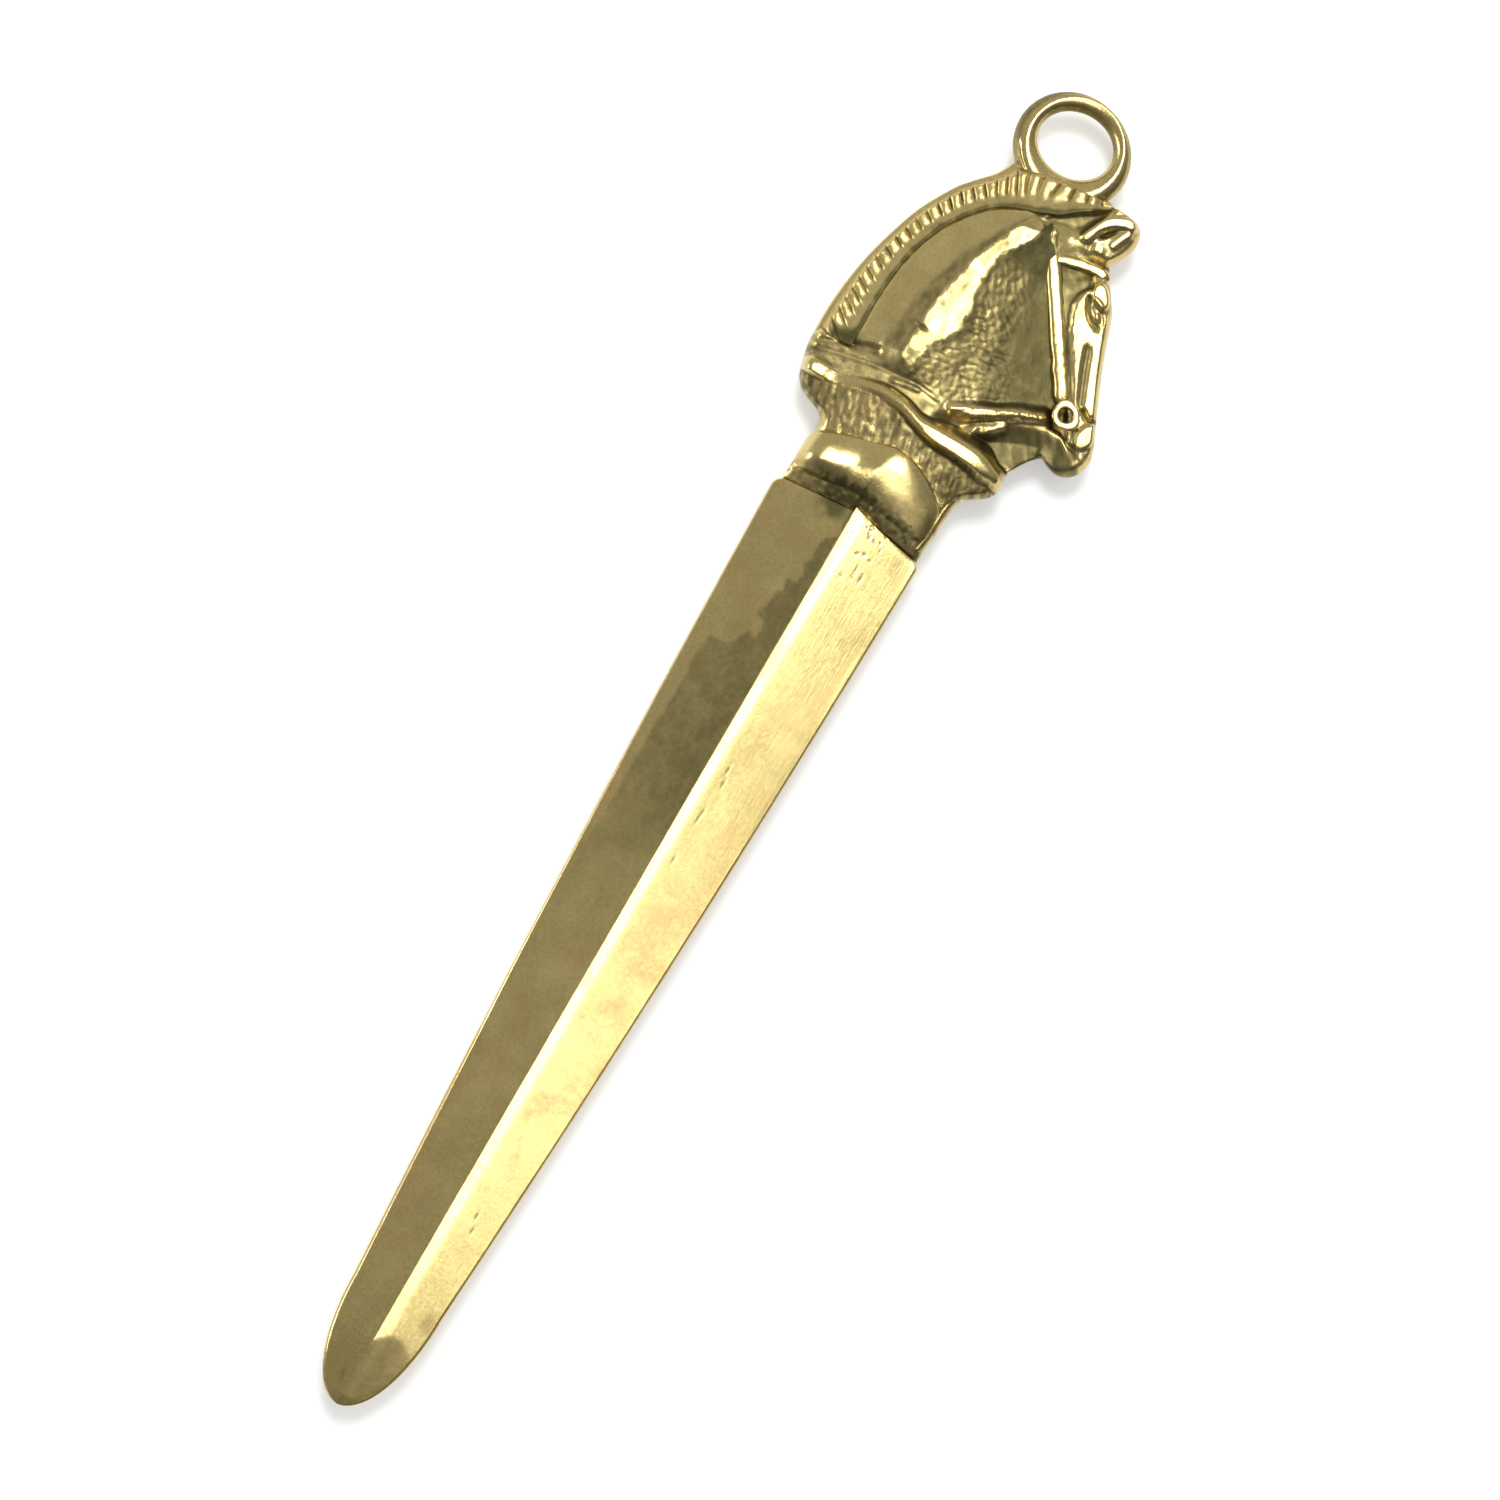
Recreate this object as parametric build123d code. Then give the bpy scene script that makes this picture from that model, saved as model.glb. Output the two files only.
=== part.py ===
from build123d import *
import math
import os

# Letter opener in solid brass: a ridged blade, an oval bolster, a horse's head as the handle with its mane
# and bridle, and a ring to hang it from. Lengths are millimetres.
# Drawing frame: Y runs along the blade from its tip to the ring with Y = 0 at the shoulder, X points the way
# the horse looks, and Z = 0 is the middle plane, about which both sides are alike.

# Blade and tang
blade_length = 122.4
shoulder_width = 20.4
shoulder_rounding = 1.2
edge_bow = 0.45
point_length = 14.5
point_width = 11.9
point_bow = 0.7
nose_width = 5.8
nose_length = 1.8
ridge_thickness = 4.0
ridge_thickness_at_tip = 2.2
edge_thickness = 1.0
tang_width = 7.0
tang_thickness = 2.4
tang_length = 14.0
tang_root = 3.0
braze_gap = 0.05

# Bolster: oval sections up the tang, from the foot on the shoulder to the crown inside the bust
foot_width = 18.0
foot_thickness = 4.6
throat_rise = 1.3
throat_width = 17.4
throat_thickness = 4.4
belly_rise = 4.7
belly_width = 19.4
belly_thickness = 8.4
cap_rise = 7.6
cap_width = 15.6
cap_thickness = 6.8
crown_rise = 9.7
crown_width = 5.0
crown_thickness = 2.0
bolster_tilt = -5.0

# Waist and rolled rim of the bust, also oval about the blade's axis
waist_rise = 7.6
waist_width = 17.8
waist_thickness = 4.8
waist_overlap = 2.6
rim_rise = 13.1
rim_width = 28.2
rim_thickness = 9.7
rim_flat = 0.15
rim_height = 3.2
rim_depth = 1.5
rim_tilt = -3.5

# Neck: two lens-shaped sections, square to the neck's axis
neck_foot = (-4.4, 12.0)
neck_top = (1.4, 44.0)
neck_foot_width = 26.0
neck_foot_thickness = 8.0
neck_top_width = 11.0
neck_top_thickness = 7.2
web_thickness = 1.4

# Skull: a flat cheek plate that carries the bridle, and the long swelling of the face along its own axis
cheek_thickness = 3.4
face_from = (8.4, 41.6)
face_to = (19.6, 19.8)
face_width = 7.2
face_thickness = 5.4
muzzle_centre = (18.9, 20.4)
muzzle_radius = 2.8
eye_centre = (13.3, 35.0)
eye_radius = 1.1
eye_rise = 0.35
ear_thickness = 4.4
ear_scoop_radius = 3.0
ear_scoop_depth = 1.2

# Outline of the bust, seen from the front
rim_right = (12.6, 12.2)
throat_low = (13.4, 13.6)
throat_bend = (14.5, 15.6)
throat_high = (16.5, 17.1)
chin_low = (18.9, 16.3)
chin_front = (21.0, 17.9)
lips_front = (21.5, 19.8)
nose_end = (20.9, 22.0)
nose_bridge = (18.6, 27.0)
brow = (15.25, 35.8)
ear_notch = (11.95, 41.1)
ear_front = (13.1, 43.6)
ear_tip = (13.45, 45.2)
ear_top = (12.3, 47.3)
ear_back = (8.1, 47.6)
rim_left = (-13.4, 13.9)
crest_foot_bow = 0.3
ear_root = (7.2, 42.2)
ear_scoop_centre = (10.0, 44.6)
poll = (2.6, 43.4)
jaw_back = (4.2, 17.2)
jaw_front = (14.2, 21.3)

# Plaited mane: a roll along the crest, cut across by slanted grooves
mane_foot = (-13.0, 18.7)
mane_bend = (-11.85, 29.2)
mane_shoulder = (-8.7, 37.1)
mane_poll = (-2.6, 43.5)
mane_end = (6.9, 45.7)
mane_width = 3.7
mane_thickness = 4.6
mane_edge_rounding = 1.5
plait_pitch = 1.45
plait_groove_width = 0.8
plait_groove_depth = 0.5
plait_slant = -25.0

# Bridle
strap_top = (3.3, 42.1)
strap_bit_end = (15.1, 24.2)
strap_width = 1.4
strap_height = 0.9
strap_rounding = 0.35
browband_inner = (5.9, 38.2)
browband_middle = (8.8, 39.4)
browband_outer = (13.4, 39.9)
browband_width = 0.95
browband_height = 1.4
bit_centre = (16.2, 23.1)
bit_outer_radius = 1.8
bit_hole_radius = 0.85
bit_height = 1.3

# Hanging ring, let into a slot in the crest
ring_centre = (0.95, 50.8)
ring_outer_radius = 7.0
ring_hole_radius = 4.4
ring_hole_lift = 0.8
ring_thickness = 2.6
ring_rounding = 0.8


def bowed(start, end, bow):
    """Arc from start to end that swells by bow to the right of the chord."""
    a, b = Vector(*start), Vector(*end)
    side = (b - a).cross(Vector(0, 0, 1)).normalized()
    return ThreePointArc(a, (a + b) / 2 + side * bow, b)


def plate(face, thickness):
    """Face on the middle plane made a plate of the given thickness."""
    return extrude(face, amount=thickness / 2, both=True)


def both_sides(solid):
    """Solid on the front together with its mirror image on the back."""
    return solid + mirror(solid, about=Plane.XY)


def square_to(point, direction):
    """Plane at a point of the middle plane, facing along a direction in it."""
    along = Vector(*direction).normalized()
    return Plane(Vector(*point), x_dir=along.cross(Vector(0, 0, 1)), z_dir=along)


def lens(width, thickness):
    """Lens-shaped face between two arcs."""
    left, right = (-width / 2, 0), (width / 2, 0)
    upper = ThreePointArc(left, (0, thickness / 2), right)
    lower = ThreePointArc(right, (0, -thickness / 2), left)
    return make_face([upper, lower])


def tang(gap):
    """Flat tang rooted in the blade, grown by a gap all round for its sockets."""
    size = (tang_width + 2 * gap, tang_root + tang_length + gap, tang_thickness + 2 * gap)
    return Pos(0, size[1] / 2 - tang_root, 0) * Box(*size)


def make_blade():
    """Planform with a rounded point, bevelled from its edges up to a ridge on each side."""
    half, point, nose = shoulder_width / 2, point_width / 2, nose_width / 2
    point_y = point_length - blade_length
    nose_y = nose_length - blade_length
    planform = make_face([
        Line((half, 0), (-half, 0)),
        bowed((-half, 0), (-point, point_y), edge_bow),
        bowed((-point, point_y), (-nose, nose_y), point_bow),
        ThreePointArc((-nose, nose_y), (0, -blade_length), (nose, nose_y)),
        bowed((nose, nose_y), (point, point_y), point_bow),
        bowed((point, point_y), (half, 0), edge_bow),
    ])
    planform = fillet(planform.vertices().group_by(Axis.Y)[-1], shoulder_rounding)
    taper = (half - point) / (blade_length - point_length)
    edge = edge_thickness / 2
    sections = []
    for y, ridge in ((0, ridge_thickness / 2), (-blade_length, ridge_thickness_at_tip / 2)):
        x = half + taper * y + edge_bow
        corners = [(x, edge), (0, ridge), (-x, edge), (-x, -edge), (0, -ridge), (x, -edge)]
        sections.append(square_to((0, y), (0, 1)) * make_face(Polyline(*corners, close=True)))
    bevels = loft(sections, ruled=True)
    return (plate(planform, ridge_thickness) & bevels) + tang(0)


def oval(rise, width, thickness, tilt=0):
    """Ellipse square to the blade's axis, or tilted from it about Z."""
    along = Vector(0, 1, 0).rotate(Axis.Z, tilt)
    return square_to((0, rise), along) * Ellipse(width / 2, thickness / 2)


def make_bolster():
    """Swollen bolster, through ovals from the shoulder up."""
    return loft([
        oval(0, foot_width, foot_thickness),
        oval(throat_rise, throat_width, throat_thickness),
        oval(belly_rise, belly_width, belly_thickness, bolster_tilt),
        oval(cap_rise, cap_width, cap_thickness, bolster_tilt),
        oval(crown_rise, crown_width, crown_thickness, bolster_tilt),
    ])


def mane_path():
    """Middle line of the mane, up the crest from the rim and over to the ear, in tangent arcs."""
    lower = ThreePointArc(mane_foot, mane_bend, mane_shoulder)
    upper = TangentArc(mane_shoulder, mane_poll, tangent=lower % 1)
    return [lower, upper, TangentArc(mane_poll, mane_end, tangent=upper % 1)]


def face_edges():
    """Front edge of the face, from the throat round the chin and lips to the notch under the ear."""
    return [
        ThreePointArc(throat_high, chin_low, chin_front),
        ThreePointArc(chin_front, lips_front, nose_end),
        Spline(nose_end, nose_bridge, brow, ear_notch),
    ]


def ear_edges():
    """Outer edge of the ear, from its notch over the tip to its back corner."""
    return [
        Line(ear_notch, ear_front),
        ThreePointArc(ear_front, ear_tip, ear_top),
        Line(ear_top, ear_back),
    ]


def bust_outline():
    """Whole outline of the bust above its rim, which ends inside the mane along the crest."""
    throat = [Line(rim_right, throat_low), ThreePointArc(throat_low, throat_bend, throat_high)]
    crest = mane_path()
    outward = (crest[0] % 0).rotate(Axis.Z, 90)
    crest_foot = Vector(*mane_foot) + outward * mane_width / 2
    back = [Line(mane_foot, crest_foot), bowed(crest_foot, rim_left, crest_foot_bow)]
    edges = [*throat, *face_edges(), *ear_edges(), Line(ear_back, mane_end), *crest, *back]
    return make_face([*edges, Line(rim_left, rim_right)])


def make_neck():
    """Tapered barrel of the neck, between two lens-shaped sections."""
    run = Vector(*neck_top) - Vector(*neck_foot)
    foot = square_to(neck_foot, run) * lens(neck_foot_width, neck_foot_thickness)
    top = square_to(neck_top, run) * lens(neck_top_width, neck_top_thickness)
    return loft([foot, top], ruled=True)


def make_face_swelling():
    """Long rounded swelling of the face, with the muzzle's ball at its end and an eye on each side."""
    run = Vector(*face_to) - Vector(*face_from)
    swelling = extrude(square_to(face_from, run) * lens(face_width, face_thickness), amount=run.length)
    muzzle = Pos(*muzzle_centre) * Sphere(muzzle_radius)
    eye = Pos(*eye_centre, face_thickness / 2 + eye_rise - eye_radius) * Sphere(eye_radius)
    return swelling + muzzle + both_sides(eye)


def make_cheek():
    """Flat plate of the jaw and face, whose two faces are the seats of the bridle."""
    back = [Line(ear_notch, poll), Line(poll, jaw_back), Line(jaw_back, jaw_front)]
    return plate(make_face([*face_edges(), *back, Line(jaw_front, throat_high)]), cheek_thickness)


def make_ear():
    """Cupped ear, scooped on each side."""
    root = [Line(ear_back, ear_root), Line(ear_root, ear_notch)]
    scoop_height = ear_thickness / 2 - ear_scoop_depth + ear_scoop_radius
    scoop = Pos(*ear_scoop_centre, scoop_height) * Sphere(ear_scoop_radius)
    return plate(make_face([*ear_edges(), *root]), ear_thickness) - both_sides(scoop)


def make_base():
    """Flared oval waist, and the rolled rim above it, worn flat on each side where the opener lies on it."""
    neck_width, neck_thickness = rim_width - 2 * rim_depth, rim_thickness - 2 * rim_depth
    below, above = rim_rise - rim_height / 2, rim_rise + rim_height / 2
    waist = loft([
        oval(waist_rise - waist_overlap, waist_width, waist_thickness),
        oval(waist_rise, waist_width, waist_thickness),
        oval(below, neck_width, neck_thickness, rim_tilt),
    ])
    rim = loft([
        oval(below, neck_width, neck_thickness, rim_tilt),
        oval(rim_rise, rim_width, rim_thickness, rim_tilt),
        oval(above, neck_width, neck_thickness, rim_tilt),
    ])
    worn = plate(Pos(0, rim_rise) * Rectangle(2 * rim_width, 2 * rim_width), rim_thickness - 2 * rim_flat)
    return waist + (rim & worn)


def make_mane():
    """Roll along the crest, and the same roll cut into plaits by slanted grooves on both sides."""
    path = Wire(mane_path())
    profile = RectangleRounded(mane_width, mane_thickness, mane_edge_rounding)
    roll = sweep(square_to(path @ 0, path % 0) * profile, path=path)
    width, depth = plait_groove_width / 2, plait_groove_depth
    corners = [(-width, depth), (-width, 0), (0, -depth), (width, 0), (width, depth)]
    groove = make_face(Polyline(*corners, close=True))
    reach = mane_width + mane_thickness
    cutters = []
    for number in range(1, math.floor(path.length / plait_pitch)):
        place = number * plait_pitch / path.length
        inward = (path % place).rotate(Axis.Z, plait_slant - 90)
        start = path @ place - inward * reach / 2 + Vector(0, 0, mane_thickness / 2)
        across = Plane(start, x_dir=Vector(0, 0, 1).cross(inward), z_dir=inward)
        cutter = extrude(across * groove, amount=reach)
        cutters += [cutter, mirror(cutter, about=Plane.XY)]
    return roll, roll - cutters


def make_ring():
    """Ring with a slightly raised hole, and the slot that holds its foot."""
    hole_centre = (ring_centre[0], ring_centre[1] + ring_hole_lift)
    disc = Pos(*ring_centre) * Circle(ring_outer_radius)
    ring = plate(disc - Pos(*hole_centre) * Circle(ring_hole_radius), ring_thickness)
    return plate(disc, ring_thickness), fillet(ring.edges().filter_by(GeomType.CIRCLE), ring_rounding)


def make_strap(height):
    """Straight cheek strap, standing on the cheek plate."""
    run = Vector(*strap_bit_end) - Vector(*strap_top)
    middle = Vector(*strap_top) + run / 2 + Vector(0, 0, cheek_thickness / 2)
    place = Plane(middle, x_dir=run, z_dir=(0, 0, 1))
    return extrude(place * Rectangle(run.length, strap_width), amount=height)


def make_browband(height):
    """Browband, bent over the forehead and standing on the cheek plate."""
    bend = ThreePointArc(browband_inner, browband_middle, browband_outer)
    return Pos(0, 0, cheek_thickness / 2) * extrude(trace(bend, browband_width), amount=height)


def make_bit_disc(radius, height):
    """Disc at the mouth, standing on the cheek plate."""
    return Pos(*bit_centre, cheek_thickness / 2) * extrude(Circle(radius), amount=height)


outline = plate(bust_outline(), 2 * neck_foot_thickness)
bolster = make_bolster()
mane_roll, mane = make_mane()
ring_slot, ring = make_ring()

bust = plate(bust_outline(), web_thickness) + make_cheek()
bust += outline & make_neck()
bust += outline & make_face_swelling()
bust += make_ear()
bust += make_base()
bust -= [bolster, mane_roll, ring_slot, tang(braze_gap)]
for seat in (make_strap(neck_foot_thickness), make_browband(neck_foot_thickness),
             make_bit_disc(bit_outer_radius, neck_foot_thickness)):
    bust -= both_sides(seat)

bit_disc = make_bit_disc(bit_outer_radius, bit_height)
strap = make_strap(strap_height)
strap = fillet(strap.edges().group_by(Axis.Z)[-1], strap_rounding) - bit_disc
browband = (make_browband(browband_height) & outline) - make_strap(neck_foot_thickness)

nodes = {
    "blade": make_blade(),
    "bolster_collar": bolster - tang(braze_gap),
    "horse_head": bust,
    "plaited_mane": mane - ring_slot,
    "cheek_straps": both_sides(strap),
    "browbands": both_sides(browband),
    "bit_rings": both_sides(bit_disc - make_bit_disc(bit_hole_radius, bit_height)),
    "hanging_ring": ring,
}

# The part's own frame has its origin under the middle of the whole opener, with Z = 0 at its lowest point.
box = Compound(list(nodes.values())).bounding_box()
to_origin = Pos(-box.center().X, -box.center().Y, -box.min.Z)

os.makedirs("parts", exist_ok=True)
for name, node in nodes.items():
    export_step(to_origin * node, f"parts/{name}.step")
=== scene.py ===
import math

import bpy
import numpy as np
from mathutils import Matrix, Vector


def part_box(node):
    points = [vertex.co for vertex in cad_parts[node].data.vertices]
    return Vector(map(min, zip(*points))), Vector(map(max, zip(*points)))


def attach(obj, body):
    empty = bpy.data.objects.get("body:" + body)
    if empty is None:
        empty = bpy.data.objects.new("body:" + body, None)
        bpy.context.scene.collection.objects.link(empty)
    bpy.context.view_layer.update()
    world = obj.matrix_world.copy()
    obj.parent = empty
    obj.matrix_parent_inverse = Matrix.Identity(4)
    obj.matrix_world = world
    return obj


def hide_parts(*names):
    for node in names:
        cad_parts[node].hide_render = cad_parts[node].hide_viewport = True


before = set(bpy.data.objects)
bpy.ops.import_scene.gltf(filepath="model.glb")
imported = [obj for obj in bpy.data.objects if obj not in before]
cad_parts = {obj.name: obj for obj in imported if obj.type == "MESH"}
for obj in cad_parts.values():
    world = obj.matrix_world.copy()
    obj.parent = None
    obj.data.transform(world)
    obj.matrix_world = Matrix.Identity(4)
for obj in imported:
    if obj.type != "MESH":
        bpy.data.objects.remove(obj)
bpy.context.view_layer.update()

# Blade: a long flat bar of cast brass, filed to a low ridge on each face, rounded at the tip and rubbed
# lengthwise. Handling has left it scratched and pitted, and stained with rosy and olive tarnish.
mm = 0.001
blade_length = 122.4
shoulder_half = 10.2
point_half = 5.95
point_start = -107.9
edge_bow = 0.58
ridge_half = 2.0
ridge_half_at_tip = 1.05
edge_half = 0.5
steepest_rise = 0.22
gentle_strip = 0.6
gentle_fade = 1.4
gentle_share = 0.75
bevel_width = 0.35
corner_radius = 1.5
pit_depth = 0.022
low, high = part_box("blade")
shoulder = np.array([(low.x + high.x) / 2, low.y + blade_length * mm, (low.z + high.z) / 2])


def ease(start, end, value):
    """Rises smoothly from 0 at start to 1 at end, level at both."""
    t = np.clip((value - start) / (end - start), 0, 1)
    return t * t * (3 - 2 * t)


def mound(share):
    """A soft round bump: 1 at share 0, level with the ground at share 1."""
    return np.clip(1 - share ** 2, 0, 1) ** 2


def oval_share(x, y, centre, long_half, short_half, lean):
    """How far each point is from the middle of an oval, where 1 is its edge; lean turns its long axis."""
    dx, dy = x - centre[0], y - centre[1]
    c, s = math.cos(math.radians(lean)), math.sin(math.radians(lean))
    return np.hypot((dx * c + dy * s) / long_half, (dy * c - dx * s) / short_half)


def lattice(i, j, seed):
    """A number from 0 to 1 for each crossing of a square lattice, scattered by mixing its whole numbers."""
    n = (i.astype(np.int64) * 374761393 + j.astype(np.int64) * 668265263 + seed * 974711) & 0x7FFFFFFF
    n = ((n ^ (n >> 13)) * 1274126177) & 0x7FFFFFFF
    return ((n ^ (n >> 16)) & 0xFFFF) / 65535


def unevenness(x, y, seed):
    """Soft hills and dips from -1 to 1, about one unit apart: lattice numbers eased into each other."""
    i, j = np.floor(x), np.floor(y)
    u, v = ease(0, 1, x - i), ease(0, 1, y - j)
    near = lattice(i, j, seed) * (1 - u) + lattice(i + 1, j, seed) * u
    far = lattice(i, j + 1, seed) * (1 - u) + lattice(i + 1, j + 1, seed) * u
    return 2 * (near * (1 - v) + far * v) - 1


def through(keys, count):
    """A smooth run of rows through a few key rows: between two keys a cubic that leaves each one along the
    line joining its neighbours."""
    keys = np.asarray(keys, float)
    row = np.vstack([2 * keys[0] - keys[1], keys, 2 * keys[-1] - keys[-2]])
    place = np.linspace(0, len(keys) - 1, count)
    i = np.minimum(place.astype(int), len(keys) - 2)
    t = (place - i)[:, None]
    a, b, c, d = row[i], row[i + 1], row[i + 2], row[i + 3]
    return b + t / 2 * (c - a + t * (2 * a - 5 * b + 4 * c - d + t * (3 * (b - c) + d - a)))


def spaced(*runs):
    """Evenly spaced numbers over one run after another, each given as its start, its end, which is left
    out, and how many numbers it holds."""
    return np.concatenate([np.linspace(*run, endpoint=False) for run in runs])


def skin(x, y, z, ring=False):
    """Points and faces of a closed skin from a grid: each row of the grid is a closed loop round the piece,
    and the first and last rows close on their middle points, or meet each other in a ring. Turned to face
    outward."""
    rows, loop = x.shape
    points = np.stack([x, y, z], -1).reshape(-1, 3)
    here = np.arange(rows * loop).reshape(rows, loop)
    if ring:
        here = np.vstack([here, here[:1]])
    beside = np.roll(here, -1, 1)
    quads = np.stack([here[:-1], here[1:], beside[1:], beside[:-1]], -1).reshape(-1, 4)
    faces = quads.tolist()
    corners = points[quads]
    volume = np.einsum("ij,ij->", np.cross(corners[:, 0], corners[:, 1]), corners[:, 2])
    volume += np.einsum("ij,ij->", np.cross(corners[:, 0], corners[:, 2]), corners[:, 3])
    if not ring:
        ends = np.stack([points[here[0]].mean(0), points[here[-1]].mean(0)])
        first, last = len(points), len(points) + 1
        points = np.vstack([points, ends])
        fan = np.stack([np.full(loop, first), here[0], beside[0]], -1)
        fan_end = np.stack([np.full(loop, last), beside[-1], here[-1]], -1)
        faces += fan.tolist() + fan_end.tolist()
        for tri in (fan, fan_end):
            a, b, c = (points[tri[:, k]] for k in range(3))
            volume += np.einsum("ij,ij->", np.cross(a, b), c)
    if volume < 0:
        faces = [face[::-1] for face in faces]
    return points, faces


def front_and_back(x, y, z, hollow, shared=True):
    """A closed skin, and its hollows, from a grid of its front: each row runs on along the back, which is
    the front turned over. Both edges of a row are shared by front and back, or only the first one."""
    rear = slice(-2, 0, -1) if shared else slice(None, 0, -1)
    halves = [(x, x), (y, y), (z, -z), (hollow, hollow)]
    x, y, z, hollow = (np.concatenate([front, back[:, rear]], 1) for front, back in halves)
    return skin(x, y, z), hollow


def piece(name, *parts):
    """One object from one or more closed skins in millimetres from the middle of the shoulder. With each
    skin goes how dark its points are to be, from 0 to 1: mostly how deep they lie in a crevice, and in
    places painted shade. It is kept as an attribute for the tarnish and the painted shade."""
    points, faces, depth, start = [], [], [], 0
    for (some_points, some_faces), hollow in parts:
        points.append(some_points)
        faces += [[start + k for k in face] for face in some_faces]
        spare = len(some_points) - hollow.size
        depth.append(np.concatenate([hollow.ravel(), np.zeros(spare)]))
        start += len(some_points)
    mesh = bpy.data.meshes.new(name)
    mesh.from_pydata((np.vstack(points) * mm + shoulder).tolist(), [], faces)
    mesh.attributes.new("hollow", "FLOAT", "POINT").data.foreach_set("value", np.concatenate(depth))
    mesh.shade_smooth()
    mesh.update()
    thing = bpy.data.objects.new(name, mesh)
    bpy.context.scene.collection.objects.link(thing)
    return thing


def node(tree, kind, links=(), **settings):
    """A shader node with its settings, its inputs filled from (name or number, value or socket) pairs."""
    made = tree.nodes.new(kind)
    for key, value in settings.items():
        setattr(made, key, value)
    for key, value in links:
        if isinstance(value, bpy.types.NodeSocket):
            tree.links.new(value, made.inputs[key])
        else:
            made.inputs[key].default_value = value
    return made


def blend_colour(tree, share, first, second):
    """Mixes two colours by a share."""
    ends = [("Factor", share), (6, first), (7, second)]
    return node(tree, "ShaderNodeMix", ends, data_type="RGBA").outputs[2]


def sums(tree, operation, *values):
    """One sum of numbers or sockets."""
    return node(tree, "ShaderNodeMath", list(enumerate(values)), operation=operation).outputs[0]


def spread(tree, value, low, high, to_low=0.0, to_high=1.0):
    """Stretches a value's range, eased at both ends."""
    ends = [("Value", value), ("From Min", low), ("From Max", high)]
    ends += [("To Min", to_low), ("To Max", to_high)]
    return node(tree, "ShaderNodeMapRange", ends, interpolation_type="SMOOTHSTEP").outputs[0]


def cloud(tree, place, scale, detail=4.0, roughness=0.55, distortion=0.0):
    """Cloudy value from 0 to 1, scale to the metre."""
    ends = [("Vector", place), ("Scale", scale), ("Detail", detail), ("Roughness", roughness),
            ("Distortion", distortion)]
    return node(tree, "ShaderNodeTexNoise", ends, noise_dimensions="3D").outputs["Fac"]


dull_yellow = (0.57, 0.45, 0.175, 1)
bright_yellow = (0.70, 0.56, 0.235, 1)
rosy_brown = (0.52, 0.315, 0.13, 1)
dark_olive = (0.135, 0.115, 0.045, 1)


def tarnish_group():
    """Aged brass: yellow metal mottled in tone, rosy-brown stains in patches, and a dark olive skin in
    hollows, which in places is painted shade. Stains and hollows are also rougher. Height is a fine casting
    grain for a bump."""
    group = bpy.data.node_groups.new("aged brass", "ShaderNodeTree")
    face = group.interface
    face.new_socket("Place", in_out="INPUT", socket_type="NodeSocketVector")
    for name, value in (("Hollow", 0.0), ("Stain", 0.4), ("Polish", 0.2)):
        face.new_socket(name, in_out="INPUT", socket_type="NodeSocketFloat").default_value = value
    face.new_socket("Colour", in_out="OUTPUT", socket_type="NodeSocketColor")
    face.new_socket("Roughness", in_out="OUTPUT", socket_type="NodeSocketFloat")
    face.new_socket("Height", in_out="OUTPUT", socket_type="NodeSocketFloat")
    given, put = group.nodes.new("NodeGroupInput"), group.nodes.new("NodeGroupOutput")
    place, hollow = given.outputs["Place"], given.outputs["Hollow"]
    tone = cloud(group, place, 260, 5)
    patches = cloud(group, place, 140, 6, 0.65, 0.4)
    specks = cloud(group, place, 1500, 3, 0.6)
    pores = cloud(group, place, 2700, 4, 0.65)
    shade = sums(group, "MULTIPLY_ADD", pores, 0.6, sums(group, "MULTIPLY", tone, 0.4))
    yellow = blend_colour(group, spread(group, shade, 0.35, 0.65), dull_yellow, bright_yellow)
    stain = sums(group, "MULTIPLY", spread(group, patches, 0.48, 0.66), given.outputs["Stain"])
    stain = sums(group, "MULTIPLY", stain, spread(group, specks, 0.3, 0.6, 0.5, 1.0))
    stained = blend_colour(group, stain, yellow, rosy_brown)
    speckled = sums(group, "ADD", hollow, sums(group, "MULTIPLY_ADD", specks, 0.3, -0.15))
    deep = spread(group, speckled, 0.15, 0.95)
    colour = blend_colour(group, deep, stained, dark_olive)
    rough = sums(group, "ADD", given.outputs["Polish"], sums(group, "MULTIPLY", stain, 0.12))
    rough = sums(group, "MULTIPLY_ADD", deep, 0.2, rough)
    rough = sums(group, "MULTIPLY_ADD", tone, 0.06, rough)
    group.links.new(colour, put.inputs["Colour"])
    group.links.new(rough, put.inputs["Roughness"])
    group.links.new(sums(group, "MULTIPLY_ADD", specks, 0.5, pores), put.inputs["Height"])
    return group


aged_brass = tarnish_group()
bump_depth = 0.00003
lengthwise = (1.0, 0.03, 1.0)


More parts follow.
